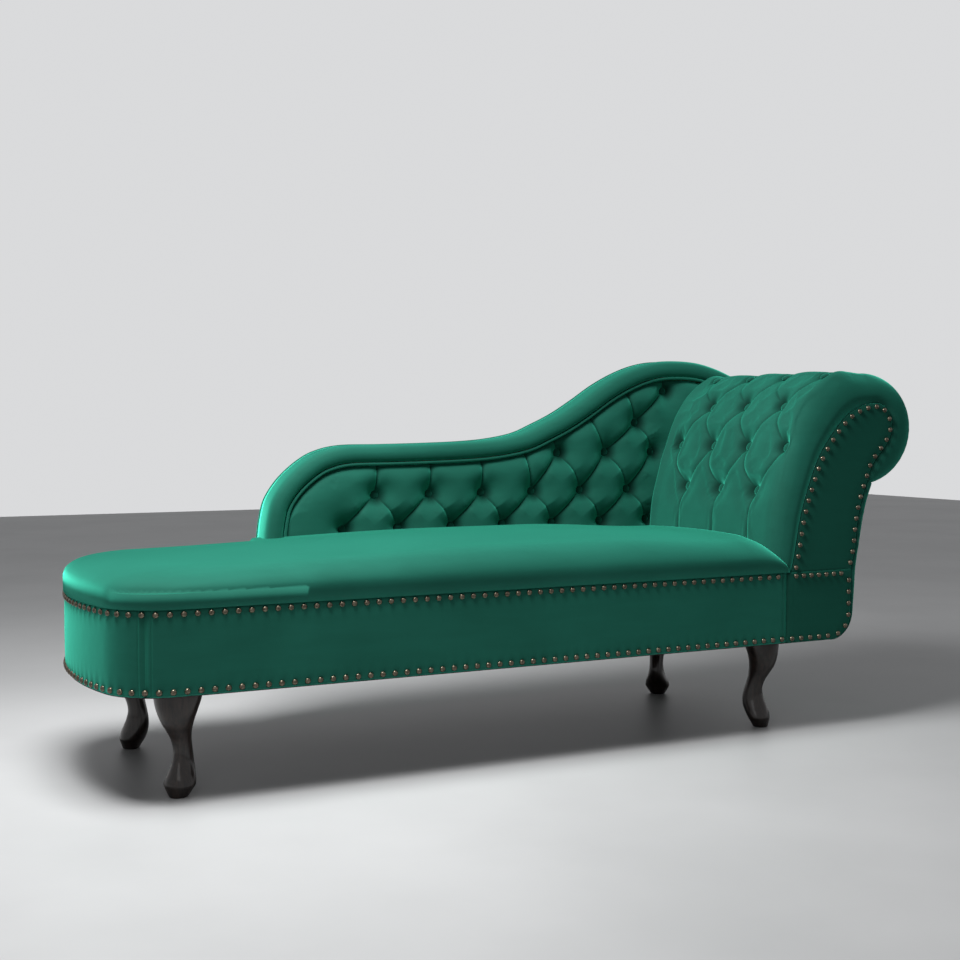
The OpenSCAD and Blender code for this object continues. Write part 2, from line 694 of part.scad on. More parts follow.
// Buttoned padding of the arm: bumps over the core's inner line, between four rows of buttons
pad_run = run(arm_inner);
arm_row_shares = [0.358, 0.561, 0.752, 0.898];
arm_cols = 4;
arm_col_pitch = (arm_rear_y - 2 * arm_button_edge) / (arm_cols - 1);
arm_spots = [for (r = [0:3], k = [0:arm_cols - 1 - (r + 1) % 2])
    [arm_row_shares[r] * pad_run, arm_button_edge + (k + (r + 1) % 2 / 2) * arm_col_pitch]];
arm_reach = norm([arm_col_pitch / 2, 0.2 * pad_run]) * 1.05;
function next_row(a, b) = b[0] > a[0] && abs(b[1] - a[1]) < arm_col_pitch && norm(b - a) < arm_reach;
arm_pleats = concat(
    [for (a = arm_spots, b = arm_spots) if (next_row(a, b)) [a, b]],
    [for (a = arm_spots) if (a[0] < 0.4 * pad_run) [a, [0, a[1]]]],
    [for (a = arm_spots) if (a[0] > 0.8 * pad_run) [a, [pad_run, a[1]]]]
);
arm_s = concat(
    [for (k = [0:6]) k / 7 * arm_row_shares[0]],
    [for (r = [0:2], k = [0:5]) mix(arm_row_shares[r], arm_row_shares[r + 1], k / 6)],
    [for (k = [0:4]) mix(arm_row_shares[3], 1, k / 4)]
) * pad_run;
arm_y = concat(
    [arm_front_y, arm_button_edge / 4, arm_button_edge / 1.6],
    [for (k = [0:24]) arm_button_edge + k / 24 * 3 * arm_col_pitch],
    [arm_rear_y - arm_button_edge / 2, arm_rear_y - arm_button_edge / 6, arm_rear_y]
);
function arm_point(s) = along(arm_inner, s)[0];
function arm_dir(s) = let (
        d = unit(arm_point(min(pad_run, s + nail_pitch)) - arm_point(max(0, s - nail_pitch))),
        t = ease(s / pad_run * 8)
    ) unit(mix([-1, 0], [-d[1], d[0]], t));
function arm_depth(s, y, q) = let (
        dir = arm_dir(s),
        face = (arm_point(s)[0] - pad_x - soft_gap) / abs(dir[0]),
        top = ease((s / pad_run - 0.88) / 0.12),
        full = arm_pad_t * (1 + 0.48 * ease((s / pad_run - 0.35) / 0.5)),
        crest = mix(full, roll_c[1] + roll_r - arm_inner[len(arm_inner) - 1][1], top)
    ) (min(face, crest) - arm_tuft * (1 - q) * (1 - top)) * rolled(y, arm_button_edge)
        * rolled(arm_rear_y - y + arm_button_edge / 4, arm_button_edge / 2);
function arm_pad_at(s, y, d) = let (p = arm_point(s) + d * arm_dir(s)) [p[0], y, p[1]];
lift = 2 * soft_gap;
module arm_pad() {
    color(velvet) place() padded(
        [for (s = arm_s) [for (y = arm_y)
            arm_pad_at(s, y, lift + max(soft_gap, arm_depth(s, y, plump([s, y], arm_spots, arm_pleats))))]],
        [for (s = arm_s) [arm_pad_at(s, arm_y[0], lift), arm_pad_at(s, arm_rear_y, lift)]]
    );
}
module button() {
    rotate_extrude($fn = 24) polygon([for (p = [[0, 0], [0.8, 0], [1, 0.3], [0.88, 0.7], [0.5, 0.95], [0, 1]])
        [p[0] * button_d / 2, p[1] * button_h]]);
}
button_seat = 2 * seat_gap;
module arm_buttons() {
    color(velvet_dark) place() for (b = arm_spots) let (
        dir = arm_dir(b[0]),
        seat = max([for (o = [-1, 0, 1]) arm_depth(b[0] + 0.4 * o * button_d, b[1], 0)]),
        p = arm_pad_at(b[0], b[1], lift + seat + button_seat / 2)
    ) translate(p) rotate([0, atan2(dir[0], dir[1]), 0]) button();
}
module arm_roll_pad() {
    end_x = arm_inner[len(arm_inner) - 1][0] + soft_gap;
    color(velvet) place() upright(arm_front_y, arm_rear_y) difference() {
        intersection() {
            translate(roll_c) circle(r = roll_r, $fn = 96);
            union() {
                translate([end_x, roll_c[1] - roll_r]) square(2 * roll_r);
                translate(roll_c - [roll_r, roll_r]) square([2 * roll_r, roll_r]);
            }
        }
        offset(delta = soft_gap) upper_core();
        translate([0, leg_h]) square([arm_x + arm_w * 0.45, band_h + arm_rise]);
    }
}
module arm_outer_panel() {
    color(velvet) place() upright(arm_front_y, arm_rear_y) difference() {
        intersection() {
            couch_end();
            translate([arm_end_x, leg_h]) square([arm_w, band_h + arm_rise / 2]);
        }
        offset(delta = seat_gap) {
            upper_core();
            lower_core();
        }
        translate(roll_c) circle(r = roll_r + soft_gap, $fn = 96);
    }
}
module arm_facing() {
    color(velvet_dark) place() upright(0, band_t) upper_core();
}
module arm_lower_facing() {
    color(velvet_dark) place() upright(0, band_t) lower_core();
}
// Nails along a path on the front face, heads forward
module face_nails(path) {
    n = floor(run(path) / nail_pitch);
    for (k = [0:n - 1]) let (s = along(path, (k + 0.5) * run(path) / n)[0])
        translate([s[0], -nail_seat, s[1]]) rotate([90, 0, 0]) nail();
}
module arm_nails() {
    low = z_band - nail_inset;
    color(brass_old) place() {
        face_nails(inside(concat(arm_inner, [for (k = [1:len(arm_outer) - 1]) arm_outer[k]]), nail_inset));
        face_nails([[arm_x + nail_d, low], [side_x - 3 * nail_d, low]]);
        face_nails([[side_x - nail_inset, z_band - nail_d], [side_x - nail_inset, leg_h + core_low_r / 2]]);
    }
}

// Back panel: a flat frame behind the base, padded and buttoned in front, covered behind

fold_t = border_w / 3;
module panel(n) {
    offset(delta = -n) polygon(outline);
}
head_board_x = arm_x + arm_w * 0.2;
back_rail_top = z_rail - rail_t;
top_rail_w = rail_t * 2.4;
// The opening under the top rail, drawn without the notch below the roll
module frame_opening() {
    offset(delta = -fold_t - top_rail_w)
        polygon(concat([[back_start, leg_h]], back_path, [[back_path[len(back_path) - 1][0], leg_h]]));
}
module back_bottom_rail() {
    x0 = back_start + fold_t + seat_gap;
    z0 = leg_h + fold_t;
    color(wood) place() difference() {
        translate([x0, base_d, z0]) cube([head_board_x - x0, rail_t, back_rail_top - z0]);
        back_bolt_holes();
    }
}
module back_top_rail() {
    color(board) place() upright(base_d, y_frame) intersection() {
        difference() {
            panel(fold_t + seat_gap);
            frame_opening();
        }
        translate([0, back_rail_top]) square([head_board_x, back_rise + rail_h]);
    }
}
module back_head_board() {
    color(board) place() upright(base_d, y_frame) intersection() {
        panel(fold_t + seat_gap);
        translate([head_board_x, leg_h]) square([arm_w, band_h + back_rise]);
    }
}
post_shares = [0.19, 0.4, 0.6];
module back_posts() {
    color(wood) place() upright(base_d, y_frame) intersection() {
        frame_opening();
        for (s = post_shares) translate([back_start + s * back_len, back_rail_top])
            square([2 * rail_t, back_rise]);
    }
}
module along_y(d, y, l, sides = 24) {
    for (x = back_bolt_x) translate([x, y + l, (leg_h + fold_t + back_rail_top) / 2])
        rotate([90, 0, 0]) cylinder(d = d, h = l, $fn = sides);
}
module back_bolt_holes() {
    along_y(bolt_d + 2 * bolt_gap, base_d - y_in - cut, y_in + rail_t + 2 * cut);
}
module back_bolts() {
    head = bolt_d * 0.8;
    color(steel) place() {
        along_y(bolt_d * 1.8, base_d - y_in - head, head, 6);
        along_y(bolt_d, base_d - y_in - head / 2, y_in + rail_t);
    }
}
module back_lining() {
    color(board) place() upright(y_lining, base_d) intersection() {
        panel(border_w + seat_gap);
        translate([step_x, z_band + seat_gap]) square([back_len, back_rise]);
    }
}
border_z = cushion_top([back_start + border_w, y_face - soft_gap]) + soft_gap;
border_x = height_at([for (p = back_path) [p[1], p[0]]], border_z);
border_top = concat(
    [[border_x, border_z], [border_x, border_z + border_w / 8]],
    [for (p = back_path) if (p[1] > border_z + border_w / 4 || p[0] > arm_x) p]
);
border_path = concat(border_top, [for (k = [1:len(end_path) - 1]) end_path[k]]);
// Section across the border: distance in from the edge and depth from the front
border_section = [
    [0, border_w * 0.45], [border_w * 0.12, border_w * 0.12], [border_w * 0.35, 0],
    [border_w * 0.8, border_w * 0.03], [border_w, border_w * 0.2], [border_w, base_d - y_face],
    [fold_t, base_d - y_face], [fold_t, y_frame - y_face], [0, y_frame - y_face]
];
function rail_points(n) = inside(border_path, n);
module back_border() {
    lines = [for (s = border_section) rail_points(s[0])];
    color(velvet) place() lofted([for (i = [0:len(border_path) - 1]) [for (k = [0:len(border_section) - 1])
        [lines[k][i][0], y_face + border_section[k][1], lines[k][i][1]]]]);
}
pad_x1 = arm_x + arm_w * 0.4;
welt_line = [for (p = inside(border_top, border_w + welt_d / 2 + seat_gap)) if (p[0] < pad_x1) p];
welt_sides = 6;
module back_welt() {
    color(velvet_dark) place() lofted([for (i = [0:len(welt_line) - 1]) let (
        d = unit(welt_line[min(len(welt_line) - 1, i + 1)] - welt_line[max(0, i - 1)]), o = [d[1], -d[0]]
    ) [for (k = [0:welt_sides - 1]) let (a = 360 * k / welt_sides, p = welt_line[i] + o * welt_d / 2 * cos(a))
        [p[0], y_face + welt_d * 0.9 + welt_d / 2 * sin(a), p[1]]]]);
}

// Buttoned padding of the back
back_row_shares = [0.188, 0.345, 0.528, 0.678, 0.837];
back_col_pitch = back_len * 0.0973;
back_col_0 = back_start + back_len * 0.197;
// Steps of an eighth of the pitch by which the upper rows lean towards the arm
back_lean = [0, 0, 0, 1, 2];
pad_line = rail_points(border_w + welt_d + 2 * seat_gap);
pad_x0 = step_x + 2 * soft_gap + border_w / 16;
function pad_top(x) = height_at(pad_line, x);
low_row_shares = [0, 0.75];
low_rows = len(low_row_shares);
mid_rows = 3;
top_rows = 11;
pad_z0 = z_band + seat_gap;
back_z = [for (s = back_row_shares) z_band + s * back_rise];
// A button needs padding above it, keeps off both ends, and the upper rows stand on the rise only
function has_button(x, r, k) = back_z[r] + button_d * 1.2 < pad_top(x)
    && x > back_start + 0.14 * back_len && x < arm_x + arm_w * 0.12
    && (r != 1 || k >= 0) && (r < 2 || x > back_start + 0.5 * back_len);
back_spots = [for (r = [0:4], k = [-1:7])
    let (x = back_col_0 + (k + (r + 1) % 2 / 2 + back_lean[r] / 8) * back_col_pitch)
    if (has_button(x, r, k)) [x, r < 2 ? back_z[r] : snap(x, back_z[r])]];
function pad_z(x, j) = let (
        top = pad_top(x),
        a = min(back_z[0], mix(pad_z0, top, 0.45)),
        b = min(back_z[1], mix(pad_z0, top, 0.75))
    ) j < low_rows ? mix(pad_z0, a, low_row_shares[j])
        : j < low_rows + mid_rows ? mix(a, b, (j - low_rows) / mid_rows)
        : mix(b, top, (j - low_rows - mid_rows) / top_rows);
function snap(x, z) = let (top = pad_top(x), n = round((z - back_z[1]) / (top - back_z[1]) * top_rows))
    mix(back_z[1], top, n / top_rows);
function over(b) = [for (c = back_spots) if (c[1] > b[1] && c[1] - b[1] < 0.24 * back_rise
    && abs(c[0] - b[0]) < 0.85 * back_col_pitch) c];
back_pleats = flat([for (b = back_spots) let (up = over(b)) concat(
    [for (c = up) [b, c]],
    len(up) > 1 ? [] : [[b, [b[0] - (len(up) == 1 ? 0.2 : 0.05) * back_col_pitch, pad_top(b[0])]]],
    b[1] > back_z[0] ? [] : [[b, [b[0], pad_z0]]]
)]);
back_x = concat(
    [for (k = [0:3]) mix(pad_x0, back_col_0 - 0.75 * back_col_pitch, k / 4)],
    [for (k = [-6:48]) back_col_0 + k / 8 * back_col_pitch],
    [for (k = [1:3]) mix(back_col_0 + 6 * back_col_pitch, pad_x1, k / 3)]
);
module back_pad() {
    n = low_rows + mid_rows + top_rows;
    color(velvet) place() padded(
        [for (x = back_x) [for (j = [0:n]) let (
            z = pad_z(x, j),
            q = plump([x, z], back_spots, back_pleats),
            edge = mix(0.4, 1, rolled(min(pad_top(x) - z, x - pad_x0), border_w))
        ) [x, y_face + back_tuft * (1 - q * edge), z]]],
        [for (x = back_x) [[x, y_lining, pad_z0], [x, y_lining, pad_top(x)]]]
    );
}
module back_buttons() {
    color(velvet_dark) place() for (b = back_spots)
        translate([b[0], y_face + back_tuft - button_seat, b[1]]) rotate([90, 0, 0]) button();
}
// Rear cover, folded forward along the end of the panel beside the foot
module back_outer_cover() {
    color(velvet) place() {
        upright(y_frame, y_rear) panel(0);
        upright(base_d + seat_gap, y_frame) translate([back_start, leg_h])
            square([cover_t, border_z - leg_h - fold_t]);
    }
}

front_rail();
rear_rail();
foot_rail();
head_rail();
cross_rails();
corner_blocks();
leg_front_foot();
leg_rear_foot();
leg_front_head();
leg_rear_head();
hanger_bolts();
tee_nuts();
dust_cover();
seat_springs();
spring_clips();
spring_ties();
seat_hessian();
seat_foam();
seat_cushion();
front_band();
foot_band();
rear_band();
upper_nails();
lower_nails();
arm_front_board();
arm_rear_board();
arm_rails();
arm_bolts();
arm_lining();
arm_roll_core();
arm_pad();
arm_buttons();
arm_roll_pad();
arm_outer_panel();
arm_facing();
arm_lower_facing();
arm_nails();
back_bottom_rail();
back_posts();
back_top_rail();
back_head_board();
back_bolts();
back_lining();
back_pad();
back_buttons();
back_border();
back_welt();
back_outer_cover();
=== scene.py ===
import math
import bmesh
import bpy
import numpy as np
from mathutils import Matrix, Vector


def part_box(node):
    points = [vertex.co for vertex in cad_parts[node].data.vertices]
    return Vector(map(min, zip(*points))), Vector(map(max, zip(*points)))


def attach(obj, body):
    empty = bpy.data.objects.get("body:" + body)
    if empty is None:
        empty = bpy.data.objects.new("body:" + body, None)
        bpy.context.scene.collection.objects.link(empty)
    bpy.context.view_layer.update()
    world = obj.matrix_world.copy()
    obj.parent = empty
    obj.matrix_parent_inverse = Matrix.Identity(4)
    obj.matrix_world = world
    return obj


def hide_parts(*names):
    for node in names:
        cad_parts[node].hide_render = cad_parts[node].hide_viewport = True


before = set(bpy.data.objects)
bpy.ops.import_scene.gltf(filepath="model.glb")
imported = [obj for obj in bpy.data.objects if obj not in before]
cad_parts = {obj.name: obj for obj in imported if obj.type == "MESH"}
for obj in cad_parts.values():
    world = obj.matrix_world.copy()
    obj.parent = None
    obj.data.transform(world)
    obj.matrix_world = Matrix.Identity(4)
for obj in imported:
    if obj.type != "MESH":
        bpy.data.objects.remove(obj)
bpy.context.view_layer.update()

# Viewpoint, lamps and floor.
# The camera stands where the photograph was taken from, low and to the left of the couch.
# A soft lamp hangs above the seat on the left, and a weak one stands in front.
camera = bpy.data.objects.new("camera", bpy.data.cameras.new("camera"))
camera.data.lens = 50.87
camera.data.sensor_width = 36
camera.location = (-1.2259, -2.4287, 0.6219)
camera.rotation_euler = (math.radians(87.58), 0, math.radians(-26.04))
bpy.context.scene.collection.objects.link(camera)
bpy.context.scene.camera = camera
bpy.context.scene.view_settings.view_transform = "Standard"


def lamp(name, place, target, size, power):
    """A square soft light at place that shines towards target."""
    light = bpy.data.lights.new(name, "AREA")
    light.size = size
    light.energy = power
    obj = bpy.data.objects.new(name, light)
    obj.location = place
    obj.rotation_euler = (Vector(target) - Vector(place)).to_track_quat("-Z", "Y").to_euler()
    bpy.context.scene.collection.objects.link(obj)


lamp("lamp_above", (-0.78, -0.3, 1.75), (-0.2, 0, 0.35), 0.8, 50)
lamp("lamp_front", (-1.4, -1.8, 1.2), (-0.4, 0, 0.3), 1.0, 3.5)


def graph(name):
    """A new material: the material, its nodes, the function that joins two sockets, and its shader."""
    mat = bpy.data.materials.new(name)
    mat.use_nodes = True
    nodes = mat.node_tree.nodes
    return mat, nodes, mat.node_tree.links.new, nodes["Principled BSDF"]


def studio_world():
    """World light: a plain grey, and a lighter one where the camera, a gloss or a glass sees it."""
    world = bpy.data.worlds.new("studio")
    bpy.context.scene.world = world
    world.use_nodes = True
    nodes, link = world.node_tree.nodes, world.node_tree.links.new
    light = nodes["Background"]
    light.inputs["Color"].default_value = (0.93, 0.96, 1, 1)
    light.inputs["Strength"].default_value = 0.05
    seen = nodes.new("ShaderNodeBackground")
    seen.inputs["Color"].default_value = (0.7, 0.705, 0.715, 1)
    path = nodes.new("ShaderNodeLightPath")
    total = path.outputs["Is Camera Ray"]
    for kind in ("Is Glossy Ray", "Is Transmission Ray"):
        add = nodes.new("ShaderNodeMath")
        add.operation = "MAXIMUM"
        link(total, add.inputs[0])
        link(path.outputs[kind], add.inputs[1])
        total = add.outputs[0]
    mix = nodes.new("ShaderNodeMixShader")
    link(total, mix.inputs[0])
    link(light.outputs[0], mix.inputs[1])
    link(seen.outputs[0], mix.inputs[2])
    link(mix.outputs[0], nodes["World Output"].inputs["Surface"])


def floor_material():
    """Pale stone, polished a little, with faint clouds."""
    mat, nodes, link, shader = graph("pale_stone")
    coord = nodes.new("ShaderNodeTexCoord")
    cloud = nodes.new("ShaderNodeTexNoise")
    cloud.inputs["Scale"].default_value = 1.4
    cloud.inputs["Detail"].default_value = 6
    ramp = nodes.new("ShaderNodeValToRGB")
    ramp.color_ramp.elements[0].position = 0.35
    ramp.color_ramp.elements[0].color = (0.52, 0.525, 0.53, 1)
    ramp.color_ramp.elements[1].position = 0.6
    ramp.color_ramp.elements[1].color = (0.58, 0.585, 0.59, 1)
    link(coord.outputs["Object"], cloud.inputs["Vector"])
    link(cloud.outputs["Fac"], ramp.inputs[0])
    link(ramp.outputs[0], shader.inputs["Base Color"])
    shader.inputs["Roughness"].default_value = 0.5
    return mat


studio_world()
floor_half = 7
floor_mesh = bpy.data.meshes.new("floor")
floor_mesh.from_pydata(
    [(-floor_half, -floor_half, 0), (floor_half, -floor_half, 0), (floor_half, floor_half, 0),
     (-floor_half, floor_half, 0)], [], [(0, 1, 2, 3)])
floor_mesh.materials.append(floor_material())
floor = bpy.data.objects.new("floor", floor_mesh)
bpy.context.scene.collection.objects.link(floor)

# Timber frame of the seat, the arm and the back.
# Planed softwood rails and blocks, glued and screwed, with the curved parts in plywood.
# The cover closes them in, so they keep their sawn look.
TIMBER = {
    "pine": ("front_rail", "rear_rail", "foot_rail", "head_rail", "cross_rails", "corner_blocks",
             "arm_rails", "back_bottom_rail", "back_posts"),
    "plywood": ("arm_front_board", "arm_rear_board", "arm_lining", "arm_roll_core",
                "back_top_rail", "back_head_board", "back_lining"),
}
TIMBER_COLOUR = {
    "pine": ((0.62, 0.44, 0.25, 1), (0.42, 0.26, 0.12, 1)),
    "plywood": ((0.55, 0.4, 0.24, 1), (0.38, 0.25, 0.13, 1)),
}


def dress(names, mat):
    """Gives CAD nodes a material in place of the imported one."""
    for name in names:
        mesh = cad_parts[name].data
        mesh.materials.clear()
        mesh.materials.append(mat)


def noise(nodes, link, vector, scale, detail=3.0, distortion=0.0):
    """The factor of a noise texture read at vector."""
    tex = nodes.new("ShaderNodeTexNoise")
    tex.inputs["Scale"].default_value = scale
    tex.inputs["Detail"].default_value = detail
    tex.inputs["Distortion"].default_value = distortion
    link(vector, tex.inputs["Vector"])
    return tex.outputs["Fac"]


def two_tone(nodes, link, factor, low, high, start=0.35, end=0.65):
    """A colour that goes from low to high as factor goes from start to end."""
    ramp = nodes.new("ShaderNodeValToRGB")
    ramp.color_ramp.elements[0].position = start
    ramp.color_ramp.elements[0].color = low
    ramp.color_ramp.elements[1].position = end
    ramp.color_ramp.elements[1].color = high
    link(factor, ramp.inputs[0])
    return ramp.outputs[0]


def bump(nodes, link, shader, height, strength, distance):
    """Relief from a height, on top of any relief that the shader has."""
    node = nodes.new("ShaderNodeBump")
    node.inputs["Strength"].default_value = strength
    node.inputs["Distance"].default_value = distance
    link(height, node.inputs["Height"])
    for old in list(shader.inputs["Normal"].links):
        link(old.from_socket, node.inputs["Normal"])
    link(node.outputs[0], shader.inputs["Normal"])


def stretched(nodes, link, scale):
    """Object coordinates, scaled by a factor along each axis."""
    coord = nodes.new("ShaderNodeTexCoord")
    mapping = nodes.new("ShaderNodeMapping")
    mapping.inputs["Scale"].default_value = scale
    link(coord.outputs["Object"], mapping.inputs["Vector"])
    return mapping.outputs[0]


def timber_material(name):
    """Grain along the couch: noise stretched along x gives the colour streaks and the relief."""
    mat, nodes, link, shader = graph(name)
    grain = noise(nodes, link, stretched(nodes, link, (1, 9, 9)), 14, 6, 0.8)
    light, dark = TIMBER_COLOUR[name]
    link(two_tone(nodes, link, grain, light, dark), shader.inputs["Base Color"])
    shader.inputs["Roughness"].default_value = 0.7
    bump(nodes, link, shader, grain, 0.3, 0.0006)
    return mat


for kind, names in TIMBER.items():
    dress(names, timber_material(kind))

# Bolts, nuts, clips and springs.
# Zinc-plated hanger bolts hold the legs and hexagon bolts hold the arm and the back.
# The springs are tempered wire, held by pressed clips and tied with cord.


def metal_material(name, colour, dark, roughness, spot_scale):
    """Bare metal: a base colour with darker spots and an uneven polish."""
    mat, nodes, link, shader = graph(name)
    coord = nodes.new("ShaderNodeTexCoord").outputs["Object"]
    spots = noise(nodes, link, coord, spot_scale, 5, 0.4)
    link(two_tone(nodes, link, spots, dark, colour), shader.inputs["Base Color"])
    shader.inputs["Metallic"].default_value = 1
    shine = nodes.new("ShaderNodeMapRange")
    shine.inputs["To Min"].default_value = roughness + 0.15
    shine.inputs["To Max"].default_value = roughness
    link(spots, shine.inputs["Value"])
    link(shine.outputs[0], shader.inputs["Roughness"])
    bump(nodes, link, shader, spots, 0.2, 0.0002)
    return mat


dress(("hanger_bolts", "tee_nuts", "arm_bolts", "back_bolts", "spring_clips"),
      metal_material("zinc_steel", (0.66, 0.67, 0.69, 1), (0.5, 0.5, 0.5, 1), 0.3, 90))
dress(("seat_springs",),
      metal_material("spring_steel", (0.22, 0.22, 0.24, 1), (0.1, 0.09, 0.09, 1), 0.35, 60))

# Foam, hessian, ties and dust cloth.
# Hessian lies on the springs and carries the foam; black non-woven cloth is stapled under
# the frame to keep the dust in.


def cloth_material(name, light, dark, threads, rough=0.95):
    """Plain weave: two crossed waves give the relief and the colour."""
    mat, nodes, link, shader = graph(name)
    coord = nodes.new("ShaderNodeTexCoord").outputs["Object"]
    thread = nodes.new("ShaderNodeMath")
    thread.operation = "MULTIPLY"
    for k, axis in enumerate("XY"):
        wave = nodes.new("ShaderNodeTexWave")
        wave.bands_direction = axis
        wave.inputs["Scale"].default_value = threads
        wave.inputs["Distortion"].default_value = 0.6
        link(coord, wave.inputs["Vector"])
        link(wave.outputs["Fac"], thread.inputs[k])
    link(two_tone(nodes, link, thread.outputs[0], dark, light, 0.0, 0.7), shader.inputs["Base Color"])
    shader.inputs["Roughness"].default_value = rough
    bump(nodes, link, shader, thread.outputs[0], 0.5, 0.0004)
    return mat


dress(("seat_hessian", "spring_ties"), cloth_material("jute", (0.5, 0.4, 0.25, 1), (0.3, 0.22, 0.12, 1), 160))
dress(("dust_cover",), cloth_material("dust_cloth", (0.035, 0.035, 0.037, 1), (0.02, 0.02, 0.02, 1), 260))
dress(("seat_foam",), cloth_material("foam", (0.8, 0.7, 0.42, 1), (0.66, 0.56, 0.3, 1), 320, 0.9))

# Legs.
# Four short cabriole legs of shaped hardwood, stained near black and lacquered, each set at
# 45 degrees with its knee outwards and a soft ridge down its front, on a hanger bolt.
# New shapes are drawn with x from the foot seam, y from the front and z from the floor.
seat_len = 1.283
base_low, base_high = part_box("front_band")
origin = np.array([base_high.x - seat_len, base_low.y, 0])
leg_h = base_low.z
leg_w = 0.086
leg_d = 0.072
bolt_r = 0.004
# Powers that shape a leg's section: the ridge in front, the rear and the sides
ridge_power = 1.25
rear_power = 0.8
side_power = 0.88
# Height, half width, offset of the centre and half depth, as shares of the leg's height, width and depth
LEG_SHARES = [
    [0, 0.165, 0, 0.195], [0.012, 0.195, -0.003, 0.215], [0.06, 0.26, -0.02, 0.26],
    [0.1, 0.308, -0.04, 0.3], [0.125, 0.318, -0.055, 0.315], [0.18, 0.29, -0.1, 0.335],
    [0.25, 0.232, -0.165, 0.332], [0.33, 0.187, -0.21, 0.3], [0.42, 0.175, -0.21, 0.257],
    [0.52, 0.19, -0.145, 0.25], [0.61, 0.235, -0.055, 0.288], [0.71, 0.32, 0.03, 0.355],
    [0.82, 0.412, 0.055, 0.41], [0.92, 0.475, 0.03, 0.46], [1, 0.49, 0.005, 0.495],
]
LEG_TURN = {"leg_front_foot": 225, "leg_rear_foot": 135, "leg_front_head": -45, "leg_rear_head": 45}


def smooth(points, steps):
    """Catmull-Rom cubic through the points, with an equal number of steps between neighbours."""
    p = np.asarray(points, float)
    q = np.vstack([p[:1], p, p[-1:]])
    a, b, c, d = (q[k:len(q) - 3 + k, None, :] for k in range(4))
    t = np.linspace(0, 1, steps, endpoint=False)[None, :, None]
    inner = (2 * b + (c - a) * t + (2 * a - 5 * b + 4 * c - d) * t**2 + (3 * b - a - 3 * c + d) * t**3) / 2
    return np.vstack([inner.reshape(-1, p.shape[1]), p[-1:]])


def piece(name, verts, faces, mat, crease_shade=None):
    """A new smooth-shaded piece that rides on the couch. The last argument gives each point's painted shade,
    from 0
    to 1: how much dark colour its velvet gets where it lies in a crease or round a button."""
    verts = np.asarray(verts, float).reshape(-1, 3) + origin
    mesh = bpy.data.meshes.new(name)
    mesh.from_pydata(verts.tolist(), [], [list(map(int, f)) for f in faces])
    mesh.materials.append(mat)
    mesh.polygons.foreach_set("use_smooth", [True] * len(mesh.polygons))
    if crease_shade is not None:
        values = np.zeros(len(verts), np.float32)
        values[:np.size(crease_shade)] = np.ravel(crease_shade)
        mesh.attributes.new("crease_shade", "FLOAT", "POINT").data.foreach_set("value", values)
    bm = bmesh.new()
    bm.from_mesh(mesh)
    bmesh.ops.recalc_face_normals(bm, faces=bm.faces)
    bm.to_mesh(mesh)
    bm.free()
    obj = bpy.data.objects.new(name, mesh)
    bpy.context.scene.collection.objects.link(obj)
    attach(obj, "root")
    return obj


def grid_faces(rows, cols, around=False):
    """Quads between neighbours of a rows by cols grid; around also joins the last column to the first."""
    i, j = np.meshgrid(np.arange(rows - 1), np.arange(cols if around else cols - 1), indexing="ij")
    a, b = i * cols + j, i * cols + (j + 1) % cols
    return np.stack([a, b, b + cols, a + cols], -1).reshape(-1, 4).tolist()


def tube_faces(rows, cols):
    """Faces of rings joined into a closed tube, with a many-sided cap at each end."""
    last = (rows - 1) * cols
    return grid_faces(rows, cols, True) + [list(range(cols))[::-1], list(range(last, last + cols))]


def lacquer_material():
    """Dark stained hardwood under gloss lacquer, with fine upright grain."""
    mat, nodes, link, shader = graph("dark_lacquer")
    grain = noise(nodes, link, stretched(nodes, link, (10, 10, 1)), 18, 6, 0.6)
    brown = two_tone(nodes, link, grain, (0.006, 0.004, 0.0035, 1), (0.022, 0.014, 0.011, 1))
    link(brown, shader.inputs["Base Color"])
    shader.inputs["Roughness"].default_value = 0.35
    shader.inputs["Specular IOR Level"].default_value = 0.2
    shader.inputs["Coat Weight"].default_value = 0.4
    shader.inputs["Coat Roughness"].default_value = 0.08
    bump(nodes, link, shader, grain, 0.15, 0.0003)
    return mat


def leg_rings(turn, centre, top, sides=48, steps=6):
    """Rings up a leg. Depth is offset + half depth * |cos|^k, with another k behind than in front, where it
    gives the ridge; width is half width * |sin|^k; both are turned about the leg's axis."""
    height, width, offset, depth = (column[:, None] for column in smooth(LEG_SHARES, steps).T)
    angle = np.linspace(0, 2 * np.pi, sides, endpoint=False)[None, :]
    cos, sin = np.cos(angle), np.sin(angle)
    out = leg_d * (offset + depth * np.sign(cos) * np.abs(cos)**np.where(cos > 0, ridge_power, rear_power))
    side = leg_w * width * np.sign(sin) * np.abs(sin)**side_power
    turn = math.radians(turn)
    return np.stack([centre[0] + out * math.cos(turn) - side * math.sin(turn),
                     centre[1] + out * math.sin(turn) + side * math.cos(turn),
                     np.broadcast_to(top * height, out.shape)], -1)


lacquer = lacquer_material()
bolt_low, bolt_high = (np.array(corner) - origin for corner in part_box("hanger_bolts"))
for name, turn in LEG_TURN.items():
    axis = (bolt_low[0] + bolt_r if "foot" in name else bolt_high[0] - bolt_r,
            bolt_low[1] + bolt_r if "front" in name else bolt_high[1] - bolt_r)
    rings = leg_rings(turn, axis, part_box(name)[1].z)
    leg = piece(name + "_shaped", rings, tube_faces(*rings.shape[:2]), lacquer)
    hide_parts(name)

